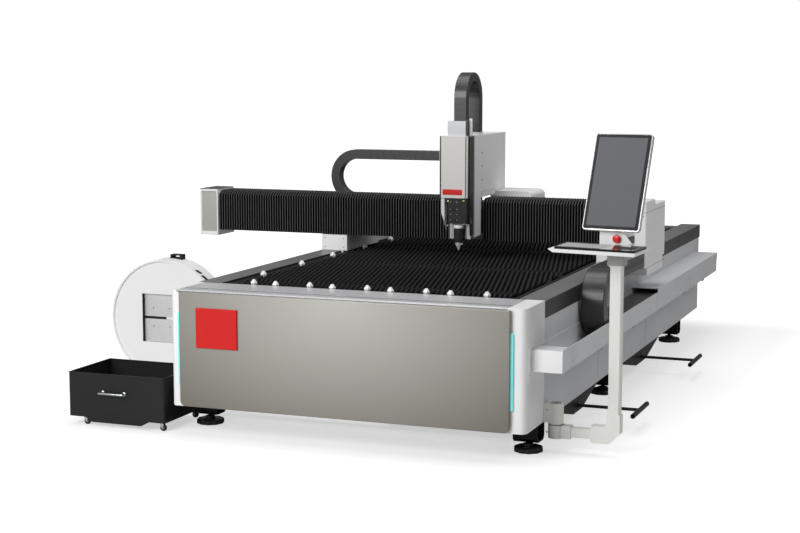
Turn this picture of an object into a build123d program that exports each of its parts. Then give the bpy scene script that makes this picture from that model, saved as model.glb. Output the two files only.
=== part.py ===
from build123d import *
from math import atan2, cos, degrees, pi, radians, sin
import os

# Bed, seen from the front: X runs right, Y runs back and Z is up
bed_width = 2240
bed_length = 5105
bed_top = 885
ground_gap = 175
wall = 8
header_depth = 365
corner_radius = 40
trim_height = 15
end_cap_width = 110
end_cap_narrow = 44
beam_width = 150
beam_top = bed_top - 104
tie_height = 60
tie_width = 80
cross_height = 120
cross_width = 100
cross_count = 8

# Front
panel_left = 73
panel_right = 2150
panel_proud = 28
panel_corner = 35
panel_margin = 5
light_width = 16
light_depth = 12
light_low = 306
light_high = 749
badge_left = 192
badge_width = 274
badge_low = 546
badge_height = 241
badge_thick = 12

# Rail covers, rails and their runners
cover_width = 159
cover_overhang = 2
cover_sheet = 8
cover_lip = 20
cover_rear_overhang = 31
rail_width = 23
rail_height = 30
rail_inset = 108
slide_gap = 0.3
runner_height = 48
runner_width = 60
runner_length = 100
web_inset = 174
web_thick = 12
foot_plate_thick = 12

# Cutting table
slat_inset = 222
slat_front = 450
slat_rear = bed_length - 205
slat_pitch = 66
slat_thick = 6
slat_height = 100
slat_top = bed_top + 2
tooth_height = 18
teeth_per_slat = 4
comb_width = 42
comb_wall = 12
roller_ball = 44
roller_top = slat_top + 26
roller_side_x = 238
roller_side_rows = (5.5, 14.5, 22.5, 31.5, 39.5)
roller_stem = 24
roller_front_count = 9
roller_first = 348
roller_last_gap = 376
roller_gap = 38
roller_stagger = 14
roller_bar_gap = 5
rear_bar_depth = 100
rear_bar_height = 60

# Trough and energy chain along the right wall
trough_width = 182
trough_bottom = 519
trough_top = 645
trough_front = 97
trough_lid_length = 123
trough_wall = 4
trough_end = bed_length - 155
raised_front = 2600
raised_height = 27
chain_y_width = 145
chain_y_height = 100
chain_y_radius = 214
chain_y_bottom = trough_bottom + 21
chain_y_centre = 1317
chain_y_anchor = 2750
chain_y_inset = 18
link_pitch = 90
link_notch = 7

# Feet
foot_ys = (340, 2120, bed_length - 750)
bracket_depth = 140
bracket_low = 65
bracket_sheet = 10
pad_radius = 88
pad_height = 30
stud_radius = 14
nut_radius = 34
nut_height = 18

# Gantry
gantry_y = 2250
gantry_low = bed_top + 115
gantry_left = -838
beam_front_gap = 90
beam_depth = 220
beam_height = 262
end_cap_x = 147
end_cap_low = gantry_low - 38
end_cap_high = gantry_low + 310
end_cap_depth = 260
block_left_gap = 6
block_width = 164
block_depth = 625
block_front_gap = 15
block_low = bed_top - 87
block_top = gantry_low + 312
block_step_top = gantry_low + 275
block_notch = 310
foot_left_width = 201
foot_right_width = 85
foot_left_gap = 5
foot_left_depth = 610
foot_clearance = 2
bellows_front_z = 273
bellows_top_z = 300
bellows_depth = 240
bellows_chamfer = 40
bellows_pitch = 40
bellows_fold = 12
bellows_wall = 24
bellows_foot = 3

# Carriage and head
carriage_left = 1062
carriage_width = 176
carriage_wall = 6
carriage_front = gantry_y - 163
carriage_back = gantry_y - 25
carriage_rear = gantry_y + 540
carriage_low = gantry_low + 43
carriage_step = gantry_low + 346
carriage_high = gantry_low + 744
z_rail_width = 15
z_rail_depth = 20
z_rail_low = gantry_low + 200
back_plate_thick = 12
back_plate_gap = 20
back_plate_low = gantry_low + 32
head_left = carriage_left - 42
head_width = 195
head_depth = 60
head_low = gantry_low + 318
head_corner = 12
nozzle_x = carriage_left + 88
nozzle_ahead = 30
nozzle_tip = gantry_low - 45
cutter_low = gantry_low + 140
cutter_width = 150
cutter_depth = 56
motor_box_height = 93
motor_box_width = 128

# Chains of the carriage
chain_z_width = 100
chain_z_height = 70
chain_z_radius = 183
chain_z_centre = carriage_high + 256
chain_x_width = 80
chain_x_height = 70
chain_x_radius = 200
chain_x_low = gantry_low + 204
chain_x_centre = 131
chain_x_end = 793
chain_x_anchor = 1100
chain_x_gap = 40
housing_left = 1200
housing_right = 1510
housing_depth = 340
housing_top = gantry_low + 330
housing_sink = 60
x_tray_sheet = 4
x_tray_hang = 60
x_tray_lip = 30
x_tray_clear = 10
x_tray_left_gap = 40
x_tray_right_gap = 20

# Console
pivot_x = 65
pivot_y = 395
knuckle_radius = 45
knuckle_low = 81
knuckle_split = 163
knuckle_high = 286
pin_radius = 12
pin_gap = 0.05
arm_reach = 346
arm_height = 55
column_size = 67
column_low = 245
elbow_low = 76
elbow_back = 130
elbow_corner = 60
elbow_shoulder = 175
elbow_margin = 5
column_top = 1105
collar_size = 98
collar_height = 65
head_turn = 9
tray_left = 305
tray_right = 215
tray_front = 275
carrier_low = 1185
tray_low = 1198
tray_sheet = 10
tray_rise = 0.048
tray_lip = 9
keys_left = 270
keys_right = 209
keys_front = 265
keys_back = 90
keys_height = 14
neck_left = 83
neck_right = 68
neck_front = -65
neck_depth = 150
gusset_width = 42
neck_top = 1300
button_x = 24
button_radius = 23
button_travel = 8
monitor_width = 340
monitor_height = 565
monitor_thick = 45
monitor_tilt = 20
monitor_low = neck_top + 12
monitor_ahead = 51
hinge_radius = 11

# Drawers under the right side
drawer_centres = (1140, 2940)
drawer_lengths = (1000, 1200)
drawer_flats = (214, 320)
drawer_depth = 1100
drawer_low = 80
drawer_high = 170
drawer_sheet = 4
drawer_lip = 20
rod_length = 408
rod_radius = 10
rod_z = 118
grip_length = 400
grip_radius = 15

# Cart at the left
cart_right = -46
cart_length = 676
cart_front = -10
cart_depth = 490
cart_low = 55
cart_high = 333
cart_sheet = 5
apron_low = 26
caster_inset = 40
caster_trail = 9
wheel_radius = 21
wheel_width = 18
fork_sheet = 3
handle_radius = 7

# Round cabinet at the left rear
cabinet_x = -886
cabinet_y = 1490
cabinet_radius = 429
cabinet_depth = 180
cabinet_rim = 14
window_width = 372
window_low = 257
window_high = 606
window_depth = 40
lift_ahead = 100
lift_shift = 45
lift_depth = 60
lift_width = 90
lift_height = 28
lift_frame = 15
lift_rise = 6
lift_bar = 8
lift_sink = 12
base_width = 300
base_height = 6

nodes = {}


def slab(x0, x1, y0, y1, z0, z1):
    """A block between six planes."""
    return Pos((x0 + x1) / 2, (y0 + y1) / 2, (z0 + z1) / 2) * Box(x1 - x0, y1 - y0, z1 - z0)


def along_x(points, x0, x1):
    """A (y, z) outline run from x0 to x1."""
    face = make_face(Polyline(*points, close=True))
    return Plane((x0, 0, 0), x_dir=(0, 1, 0), z_dir=(1, 0, 0)) * extrude(face, x1 - x0)


def along_y(points, y0, y1):
    """An (x, z) outline run from y0 to y1."""
    face = make_face(Polyline(*points, close=True))
    return Plane((0, y1, 0), x_dir=(1, 0, 0), z_dir=(0, -1, 0)) * extrude(face, y1 - y0)


def bar(radius, length, hole=False, turned=False):
    """A turned bar, a bar of many flats inside its radius, or a hole whose flats clear that radius."""
    if turned:
        return Cylinder(radius, length)
    sides = 8 if radius < 7 else 12 if radius < 18 else 16 if radius < 60 else 64
    return extrude(RegularPolygon(radius, sides, major_radius=not hole), length / 2, both=True)


def post(x, y, z0, z1, radius, hole=False, turned=False):
    """An upright bar."""
    return Pos(x, y, (z0 + z1) / 2) * bar(radius, z1 - z0, hole, turned)


def bar_x(x0, x1, y, z, radius, hole=False, turned=False):
    """A bar along X."""
    return Pos((x0 + x1) / 2, y, z) * Rot(Y=90) * bar(radius, x1 - x0, hole, turned)


def bar_y(x, y0, y1, z, radius, hole=False, turned=False):
    """A bar along Y."""
    return Pos(x, (y0 + y1) / 2, z) * Rot(X=90) * bar(radius, y1 - y0, hole, turned)


def rounded(part, axis, radius):
    """Rounds the edges that run along one axis."""
    return fillet(part.edges().filter_by(axis), radius)


def beveled(part, axis, size):
    """Bevels the edges that run along one axis."""
    return chamfer(part.edges().filter_by(axis), size)


def other_side(part):
    """The same piece on the bed's left."""
    return mirror(part, Plane.YZ.offset(bed_width / 2))


def spread(first, last, count):
    """Evenly spaced places, both ends included."""
    return [first + (last - first) * i / (count - 1) for i in range(count)]


def chain_outline(run_low, run_high, radius, height, pitch, notch):
    """Outline of a chain folded round a bend at the origin, opening towards +u.

    The lower run ends at run_low and the upper run at run_high, with a notch between links.
    """
    inner = radius - height
    outer_points = []
    inner_points = []
    arc = pi * (radius - height / 2)
    total = run_low + arc + run_high
    count = round(total / pitch)
    for i in range(count + 1):
        s = total * i / count
        for shift, cut in ((-notch, 0), (0, notch), (notch, 0)):
            t = min(max(s + shift, 0), total)
            if i in (0, count) and shift == 0:
                cut = 0
            if t <= run_low:
                u, v, nu, nv = run_low - t, -1, 0, -1
            elif t >= run_low + arc:
                u, v, nu, nv = t - run_low - arc, 1, 0, 1
            else:
                a = pi * (t - run_low) / arc
                u, v, nu, nv = 0, 0, -sin(a), -cos(a)
            outer_points.append((u + nu * (radius - cut), nv * (radius - cut)))
            inner_points.append((u + nu * (inner + cut), nv * (inner + cut)))
    points = outer_points + inner_points[::-1]
    cleaned = []
    for p in points:
        if not cleaned or (Vector(*p) - Vector(*cleaned[-1])).length > 0.5:
            cleaned.append(p)
    return cleaned


# Welded frame: two long beams, cross members under the slats and ties under the drawers
beam_right = slab(bed_width - wall - beam_width, bed_width - wall, corner_radius, bed_length - wall, ground_gap, beam_top)
bed_frame = [beam_right, other_side(beam_right)]
between_left = wall + beam_width
between_right = bed_width - wall - beam_width
cross_top = slat_top - slat_height - comb_wall
for y in spread(slat_front + cross_width, slat_rear, cross_count):
    bed_frame.append(slab(between_left, between_right, y - cross_width / 2, y + cross_width / 2,
                          cross_top - cross_height, cross_top))
for centre, length in zip(drawer_centres, drawer_lengths):
    for y in (centre - length / 2, centre + length / 2):
        bed_frame.append(slab(between_left, between_right, y - tie_width / 2, y + tie_width / 2,
                              ground_gap, ground_gap + tie_height))

# White front housing with rounded corners, open at the back
shell_top = bed_top - trim_height
front = slab(0, bed_width, 0, header_depth, ground_gap, shell_top)
front_edges = front.edges().filter_by(Axis.Z).sort_by(Axis.Y)[:2]
front = fillet(front_edges, corner_radius)
hollow = slab(wall, bed_width - wall, wall, header_depth + 1, ground_gap - 1, shell_top - wall)
front -= fillet(hollow.edges().filter_by(Axis.Z).sort_by(Axis.Y)[:2], corner_radius - wall)
nodes["front_shell"] = [front]

# Panel in front of it with rounded lower corners, light strips and a bare plate
panel = slab(panel_left, panel_right, -panel_proud, 0, ground_gap + panel_margin, shell_top + panel_margin)
lower_edges = panel.edges().filter_by(Axis.Y).sort_by(Axis.Z)[:2]
panel = fillet(lower_edges, panel_corner)
panel = chamfer(panel.faces().sort_by(Axis.Y)[0].edges(), 3)
nodes["front_panel"] = [panel]
light = slab(panel_right, panel_right + light_width, -light_depth, 0, light_low, light_high)
light_left = slab(panel_left - light_width, panel_left, -light_depth, 0, light_low, light_high)
nodes["light_strips"] = [light, light_left]
badge = slab(badge_left, badge_left + badge_width, -panel_proud - badge_thick, -panel_proud,
             badge_low, badge_low + badge_height)
nodes["bare_plate"] = [chamfer(badge.faces().sort_by(Axis.Y)[0].edges(), 3)]

# Aluminium header trim with two grooves, and its white end caps
trim_back = header_depth
groove = 10
trim_profile = [
    (20, shell_top), (trim_back, shell_top), (trim_back, bed_top),
    (125, bed_top), (125, bed_top - groove), (113, bed_top - groove), (113, bed_top - 3),
    (107, bed_top - 3), (107, bed_top - groove), (95, bed_top - groove), (95, bed_top),
    (24, bed_top), (20, bed_top - 4),
]
nodes["header_trim"] = [along_x(trim_profile, end_cap_narrow, bed_width - end_cap_width)]
cap_right = slab(bed_width - end_cap_width, bed_width, 0, header_depth, shell_top, bed_top)
cap_right = fillet(cap_right.edges().filter_by(Axis.Z).sort_by(Axis.Y)[:2].sort_by(Axis.X)[-1], corner_radius)
cap_left = slab(0, end_cap_narrow, 0, header_depth, shell_top, bed_top)
cap_left = fillet(cap_left.edges().filter_by(Axis.Z).sort_by(Axis.Y)[:2].sort_by(Axis.X)[0], corner_radius)
nodes["header_end_caps"] = [cap_right, cap_left]

# Side walls and rear panel
side = slab(bed_width - wall, bed_width, header_depth, bed_length, ground_gap, beam_top)
rear = slab(wall, bed_width - wall, bed_length - wall, bed_length, ground_gap, beam_top)
nodes["bed_walls"] = [side, other_side(side), rear]

# Folded rail covers
cover_out = bed_width + cover_overhang
cover_in = cover_out - cover_width
cover_front = header_depth + 5
cover_back = bed_length + cover_rear_overhang
cover_profile = [
    (cover_out, beam_top), (cover_out, bed_top - 4), (cover_out - 4, bed_top), (cover_in, bed_top),
    (cover_in, bed_top - cover_lip), (cover_in + cover_sheet, bed_top - cover_lip),
    (cover_in + cover_sheet, bed_top - cover_sheet), (cover_out - cover_sheet, bed_top - cover_sheet),
    (cover_out - cover_sheet, beam_top),
]
cover = along_y(cover_profile, cover_front, cover_back)
nodes["rail_covers"] = [cover, other_side(cover)]

# Linear rails and racks on the beams
rail_x = bed_width - rail_inset
rail = slab(rail_x - rail_width / 2, rail_x + rail_width / 2, header_depth, bed_length - wall,
            beam_top, beam_top + rail_height)
rack = slab(rail_x + 50, rail_x + 75, header_depth, bed_length - wall, beam_top, beam_top + 25)
nodes["y_rails"] = [rail, rack, other_side(rail), other_side(rack)]

# Combs: angles that carry the slat ends
comb_out = bed_width - slat_inset + comb_width
ledge_top = slat_top - slat_height
comb_profile = [
    (comb_out, cross_top), (comb_out, slat_top - 22), (comb_out - 30, slat_top - 22),
    (comb_out - 30, ledge_top), (comb_out - 90, ledge_top), (comb_out - 90, cross_top),
]
comb = along_y(comb_profile, slat_front - 20, slat_rear + 20)
nodes["slat_combs"] = [comb, other_side(comb)]

# Toothed slats
slat_left = slat_inset - comb_width + 30
slat_right = bed_width - slat_left
tooth = (slat_right - slat_left) / teeth_per_slat
slat_count = int((slat_rear - slat_front) / slat_pitch) + 1
slats = []
for i in range(slat_count):
    points = [(slat_right, ledge_top), (slat_left, ledge_top), (slat_left, slat_top - tooth_height)]
    for k in range(teeth_per_slat):
        points.append((slat_left + tooth * (k + 0.5), slat_top))
        points.append((slat_left + tooth * (k + 1), slat_top - tooth_height))
    y = slat_front + i * slat_pitch
    slats.append(along_y(points, y - slat_thick / 2, y + slat_thick / 2))
nodes["slats"] = slats


def ball_roller(x, y, base):
    """A ball in a cup on a stem, standing on the frame beside the slats."""
    half = roller_stem / 2
    cup_low = roller_top - roller_ball
    stem = slab(x - half, x + half, y - half, y + half, base, cup_low)
    cup = RegularPolygon(roller_ball / 2, 8)
    ball = Pos(x, y, cup_low) * extrude(cup, roller_ball * 0.5)
    ball += Pos(x, y, cup_low + roller_ball * 0.5) * extrude(cup, roller_ball * 0.5, taper=38)
    return stem + ball


# Ball rollers on a bar between the header and the first slat
bed_frame.append(slab(between_left, between_right, header_depth + roller_bar_gap, slat_front - 25, beam_top - 40, beam_top))
roller_mid = header_depth + roller_gap
nodes["ball_rollers"] = [
    ball_roller(x, roller_mid + (roller_stagger if i % 2 == 0 else -roller_stagger), beam_top)
    for i, x in enumerate(spread(roller_first, bed_width - roller_last_gap, roller_front_count))
]
for row in roller_side_rows:
    nodes["ball_rollers"].append(ball_roller(roller_side_x, slat_front + slat_pitch * row, ledge_top))

# Rear bar behind the last slat
bed_frame.append(slab(between_left, between_right, bed_length - wall - rear_bar_depth, bed_length - wall,
                      beam_top - rear_bar_height, bed_top - trim_height))
nodes["bed_frame"] = bed_frame

# Trough on the right wall, its front lid and the raised cover behind
t0 = bed_width
t1 = bed_width + trough_width
trough_profile = [
    (t0, trough_bottom), (t1, trough_bottom), (t1, trough_top), (t1 - trough_wall, trough_top),
    (t1 - trough_wall, trough_bottom + trough_wall), (t0 + trough_wall, trough_bottom + trough_wall),
    (t0 + trough_wall, trough_top), (t0, trough_top),
]
trough = along_y(trough_profile, trough_front, trough_end)
lid = slab(t0, t1, trough_front, trough_front + trough_lid_length, trough_top, trough_top + trough_wall)
raised_profile = [
    (t1 + trough_wall, trough_top - raised_height), (t1 + trough_wall, trough_top + raised_height),
    (t0, trough_top + raised_height), (t0, trough_top + raised_height - trough_wall),
    (t1, trough_top + raised_height - trough_wall), (t1, trough_top - raised_height),
]
front_plate = slab(t0, t1, trough_front - trough_wall, trough_front, trough_bottom, trough_top + trough_wall)
nodes["trough_covers"] = [lid, front_plate, along_y(raised_profile, raised_front, trough_end)]

# Chain beside the bed: lower run in the trough, upper run to the gantry block
chain_low_run = chain_y_anchor - chain_y_centre
chain_high_run = gantry_y - block_front_gap - chain_y_centre
chain_y_mid = chain_y_bottom + chain_y_radius
chain_x0 = bed_width + chain_y_inset
points = chain_outline(chain_low_run, chain_high_run, chain_y_radius, chain_y_height, link_pitch, link_notch)
nodes["y_energy_chain"] = [along_x([(chain_y_centre + u, chain_y_mid + v) for u, v in points],
                                   chain_x0, chain_x0 + chain_y_width)]
anchor = slab(chain_x0, chain_x0 + chain_y_width, chain_y_anchor, chain_y_anchor + 60,
              trough_bottom + trough_wall, chain_y_bottom + chain_y_height)
nodes["chain_trough"] = [trough, anchor]

# Feet: folded brackets under the beams, studs and scalloped pads
brackets = []
feet = []
bracket_top = ground_gap
for side_x in (wall + beam_width / 2, bed_width - wall - beam_width / 2):
    for y in foot_ys:
        half = beam_width / 2
        outline = [
            (y - bracket_depth / 2, bracket_top), (y - bracket_depth / 2, bracket_low + 20),
            (y - bracket_depth / 2 + 20, bracket_low), (y + bracket_depth / 2 - 20, bracket_low),
            (y + bracket_depth / 2, bracket_low + 20), (y + bracket_depth / 2, bracket_top),
            (y + bracket_depth / 2 - bracket_sheet, bracket_top),
            (y + bracket_depth / 2 - bracket_sheet, bracket_low + 24),
            (y + bracket_depth / 2 - 24, bracket_low + bracket_sheet),
            (y - bracket_depth / 2 + 24, bracket_low + bracket_sheet),
            (y - bracket_depth / 2 + bracket_sheet, bracket_low + 24),
            (y - bracket_depth / 2 + bracket_sheet, bracket_top),
        ]
        brackets.append(along_x(outline, side_x - half, side_x + half))
        pad = Pos(side_x, y, 0) * extrude(RegularPolygon(pad_radius, 10), pad_height * 0.6)
        pad += Pos(side_x, y, pad_height * 0.6) * extrude(RegularPolygon(pad_radius, 10), pad_height * 0.4, taper=50)
        pad += Pos(side_x, y, pad_height) * extrude(RegularPolygon(nut_radius, 6), nut_height)
        pad += post(side_x, y, pad_height + nut_height, bracket_low, stud_radius)
        feet.append(pad)
nodes["leg_brackets"] = brackets
nodes["levelling_feet"] = feet

# Gantry beam, feet, webs and runners
beam_y0 = gantry_y + beam_front_gap
beam_y1 = beam_y0 + beam_depth
beam_z1 = gantry_low + beam_height
block_x0 = bed_width + block_left_gap
beam = slab(gantry_left, block_x0, beam_y0, beam_y1, gantry_low, beam_z1)
foot_low = bed_top + foot_clearance
web_left_x = web_inset
foot_left = slab(foot_left_gap, foot_left_gap + foot_left_width, gantry_y, gantry_y + foot_left_depth, foot_low, gantry_low)
foot_right = slab(bed_width - web_inset, bed_width - web_inset + foot_right_width, gantry_y, beam_y1,
                  foot_low, gantry_low)
plate_low = beam_top + 9 + runner_height
web = slab(bed_width - web_inset, bed_width - web_inset + web_thick, gantry_y, beam_y1, plate_low, foot_low)
web += slab(bed_width - web_inset + web_thick, rail_x + runner_width / 2, gantry_y, beam_y1,
            plate_low, plate_low + foot_plate_thick)
nodes["gantry_feet"] = [foot_left, foot_right, web, other_side(web)]
runners = []
for y in (gantry_y + 10, beam_y1 - 10 - runner_length):
    runner = slab(rail_x - runner_width / 2, rail_x + runner_width / 2, y, y + runner_length,
                  plate_low - runner_height, plate_low)
    runner -= slab(rail_x - rail_width / 2 - slide_gap, rail_x + rail_width / 2 + slide_gap, y - 1,
                   y + runner_length + 1, plate_low - runner_height - 1, beam_top + rail_height + slide_gap)
    runners += [runner, other_side(runner)]
nodes["y_runners"] = runners

# Left end cap with its inset panel
cap_x0 = gantry_left - end_cap_x
cap = slab(cap_x0, gantry_left, gantry_y - 10, gantry_y - 10 + end_cap_depth, end_cap_low, end_cap_high)
cap = fillet(cap.edges().filter_by(Axis.Y).sort_by(Axis.X)[:2], 14)
inset = 6
cap -= slab(cap_x0 + 16, gantry_left - 16, gantry_y - 11, gantry_y - 10 + inset,
            end_cap_low + 18, end_cap_high - 18)
cap_panel = slab(cap_x0 + 20, gantry_left - 20, gantry_y - 8, gantry_y - 10 + inset,
                 end_cap_low + 22, end_cap_high - 22)
nodes["gantry_end_cap"] = [cap, cap_panel]

# Drive block on the right with a notch in its top
block_y0 = gantry_y - block_front_gap
block_y1 = block_y0 + block_depth
step_y = block_y0 + block_notch
seam_z = bed_top + 3
block_profile = [
    (block_y0 + 75, block_low), (block_y1 - 60, block_low), (block_y1 - 60, seam_z), (block_y1, seam_z),
    (block_y1, block_step_top), (step_y + 15, block_step_top), (step_y, block_top - 30),
    (step_y - 15, block_top - 30), (step_y - 30, block_top), (block_y0, block_top),
    (block_y0, seam_z - 40), (block_y0 + 75, seam_z - 40),
]
block = along_x(block_profile, block_x0, block_x0 + block_width)
outer_edges = block.faces().sort_by(Axis.X)[-1].edges()
nodes["gantry_block"] = [chamfer(outer_edges, 6)]

# X rails on the beam's front
x_rails = []
for z in (gantry_low + 50, beam_z1 - 50):
    x_rails.append(slab(gantry_left, block_x0, beam_y0 - rail_height, beam_y0, z - rail_width / 2, z + rail_width / 2))
nodes["gantry_beam"] = [beam] + x_rails


def bellows(x0, x1):
    """Pleated cover of the beam's front and top, folding along X."""
    count = round((x1 - x0) / bellows_pitch)
    step = (x1 - x0) / count / 2
    low = gantry_low + bellows_foot
    y1 = gantry_y + bellows_depth
    rise = bellows_top_z - bellows_front_z
    slope = (rise ** 2 + bellows_chamfer ** 2) ** 0.5
    sections = []
    for i in range(2 * count + 1):
        d = bellows_fold if i % 2 else 0
        front_y = gantry_y + d
        front_z = gantry_low + bellows_front_z + d * (rise - slope) / bellows_chamfer
        top_y = gantry_y + bellows_chamfer + d * (slope - bellows_chamfer) / rise
        top_z = gantry_low + bellows_top_z - d
        outline = [(front_y, low), (front_y, front_z), (top_y, top_z), (y1, top_z), (y1, low)]
        plane = Plane((x0 + i * step, 0, 0), x_dir=(0, 1, 0), z_dir=(1, 0, 0))
        sections.append(plane * make_face(Polyline(*outline, close=True)))
    skin = loft(sections, ruled=True)
    void_z = gantry_low + bellows_front_z
    return skin - slab(x0 - 1, x1 + 1, gantry_y + bellows_wall, y1 + 1, low - 1, void_z)


carriage_right = carriage_left + carriage_width
nodes["bellows_left"] = [bellows(gantry_left, carriage_left - 2)]
nodes["bellows_right"] = [bellows(carriage_right + 2, block_x0 - 6)]

# Rounded housing behind the beam
house = slab(housing_left, housing_right, beam_y1, beam_y1 + housing_depth, beam_z1 - housing_sink, housing_top)
house = fillet(house.edges().filter_by(Axis.Y).sort_by(Axis.X)[-2:], 40)
nodes["rear_housing"] = [house]

# Chain behind the beam with its tray
chain_back_y = beam_y1 + chain_x_gap
chain_x_mid = chain_x_low + chain_x_radius
low_run = chain_x_anchor - chain_x_centre
high_run = chain_x_end - chain_x_centre
points = chain_outline(low_run, high_run, chain_x_radius, chain_x_height, link_pitch, link_notch)
tray_back_y = chain_back_y + chain_x_width
nodes["x_energy_chain"] = [along_y([(chain_x_centre + u, chain_x_mid + v) for u, v in points],
                                   chain_back_y, tray_back_y)]
lip_y = tray_back_y + x_tray_clear
tray_under = chain_x_low - x_tray_sheet
tray_profile = [
    (beam_y1, chain_x_low - x_tray_hang), (beam_y1, chain_x_low), (lip_y, chain_x_low),
    (lip_y, chain_x_low + x_tray_lip), (lip_y + x_tray_sheet, chain_x_low + x_tray_lip),
    (lip_y + x_tray_sheet, tray_under), (beam_y1 + x_tray_sheet, tray_under),
    (beam_y1 + x_tray_sheet, chain_x_low - x_tray_hang),
]
nodes["x_chain_tray"] = [along_x(tray_profile, gantry_left + x_tray_left_gap, housing_left - x_tray_right_gap)]

# Carriage: L-shaped housing over the beam, with a saddle to the X rails
w = carriage_wall
outer = along_x([(carriage_front, carriage_low), (carriage_back, carriage_low), (carriage_back, carriage_step),
                 (carriage_rear, carriage_step), (carriage_rear, carriage_high), (carriage_front, carriage_high)],
                carriage_left, carriage_right)
inner = along_x([(carriage_front + w, carriage_low - 1), (carriage_back - w, carriage_low - 1),
                 (carriage_back - w, carriage_step + w), (carriage_rear - w, carriage_step + w),
                 (carriage_rear - w, carriage_high - w), (carriage_front + w, carriage_high - w)],
                carriage_left + w, carriage_right - w)
housing = outer - inner
saddle = slab(carriage_left + 10, carriage_right - 10, carriage_back, beam_y0 - rail_height - 5,
              carriage_low + 2, carriage_low + 182)
x_runners = []
for z in (gantry_low + 50, beam_z1 - 50):
    for x in (carriage_left + 12, carriage_right - 12 - 70):
        block_part = slab(x, x + 70, beam_y0 - rail_height - 5, beam_y0 - 4, z - 30, z + 30)
        block_part -= slab(x - 1, x + 71, beam_y0 - rail_height - slide_gap, beam_y0,
                           z - rail_width / 2 - slide_gap, z + rail_width / 2 + slide_gap)
        x_runners.append(block_part)
nodes["carriage_saddle"] = [saddle] + x_runners
chain_bracket = slab(chain_x_end, carriage_left, chain_back_y, tray_back_y,
                     chain_x_mid + chain_x_radius - chain_x_height, chain_x_mid + chain_x_radius)

# Z rails on the carriage's front
z_rail_xs = (carriage_left + 30, carriage_right - 30)
z_rails = [
    slab(x - z_rail_width / 2, x + z_rail_width / 2, carriage_front - z_rail_depth, carriage_front,
         z_rail_low, carriage_high)
    for x in z_rail_xs
]

nodes["carriage_housing"] = [housing] + z_rails

# Head: back plate with runners, rounded cover, motor box, cutting head and nozzle
plate_y1 = carriage_front - z_rail_depth - back_plate_gap
plate_y0 = plate_y1 - back_plate_thick
back_plate = slab(carriage_left + 12, carriage_right - 12, plate_y0, plate_y1, back_plate_low, carriage_high)
z_runners = []
for z in (head_low - 60, carriage_high - 180):
    for x in z_rail_xs:
        part = slab(x - 20, x + 20, plate_y1, carriage_front - 4, z, z + 80)
        part -= slab(x - z_rail_width / 2 - slide_gap, x + z_rail_width / 2 + slide_gap,
                     carriage_front - z_rail_depth - slide_gap, carriage_front, z - 1, z + 81)
        z_runners.append(part)
nodes["head_back_plate"] = [back_plate] + z_runners
cover_y0 = plate_y0 - head_depth
head = slab(head_left, head_left + head_width, cover_y0, plate_y0, head_low, carriage_high)
head = fillet(head.faces().sort_by(Axis.Y)[0].edges().filter_by(Axis.Z), head_corner)
nodes["head_cover"] = [head]
cutter = slab(nozzle_x - cutter_width / 2, nozzle_x + cutter_width / 2, plate_y0 - cutter_depth, plate_y0,
              cutter_low, head_low)
cutter = chamfer(cutter.edges().filter_by(Axis.Z).sort_by(Axis.Y)[:2], 10)
nodes["cutting_head"] = [cutter]
collar_low = cutter_low - 30
nozzle_y = plate_y0 - nozzle_ahead
head_collar = post(nozzle_x, nozzle_y, collar_low, cutter_low, 30)
nozzle_steps = ((0, 5), (22, 12), (30, 16), (40, 22), (62, 28))
rings = [Pos(nozzle_x, nozzle_y, nozzle_tip + z) * RegularPolygon(r, 16) for z, r in nozzle_steps]
nozzle = loft(rings, ruled=True)
nozzle += post(nozzle_x, nozzle_y, nozzle_tip + nozzle_steps[-1][0], collar_low, nozzle_steps[-1][1])
nodes["nozzle"] = [nozzle, head_collar]
motor_top = carriage_high + motor_box_height
motor = slab(nozzle_x - motor_box_width / 2 - 12, nozzle_x + motor_box_width / 2 - 12, cover_y0 + 10, plate_y1 - 2,
             carriage_high, motor_top)
nodes["motor_box"] = [chamfer(motor.faces().sort_by(Axis.Z)[-1].edges(), 5)]

# Chain over the head: front run on the motor box, rear leg on the carriage
chain_z_x = nozzle_x + 5
chain_z_y = cover_y0 + 30 + chain_z_radius
rear_foot = carriage_high + 16
points = chain_outline(chain_z_centre - motor_top, chain_z_centre - rear_foot, chain_z_radius, chain_z_height,
                       link_pitch * 0.7, link_notch * 0.8)
nodes["z_energy_chain"] = [along_x([(chain_z_y + v, chain_z_centre - u) for u, v in points],
                                   chain_z_x - chain_z_width / 2, chain_z_x + chain_z_width / 2)]
leg_y1 = chain_z_y + chain_z_radius
chain_foot = slab(chain_z_x - chain_z_width / 2, chain_z_x + chain_z_width / 2,
                  leg_y1 - chain_z_height, leg_y1, carriage_high, rear_foot)
nodes["chain_brackets"] = [chain_bracket, chain_foot]

# Console bracket with a fixed knuckle and pin
px = bed_width + pivot_x
bracket_part = slab(bed_width, px, pivot_y - 40, pivot_y + 40, ground_gap, knuckle_high)
bracket_part += post(px, pivot_y, knuckle_split, knuckle_high, knuckle_radius)
bracket_part += post(px, pivot_y, knuckle_low + 10, knuckle_split, pin_radius)
nodes["console_bracket"] = [bracket_part]

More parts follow.
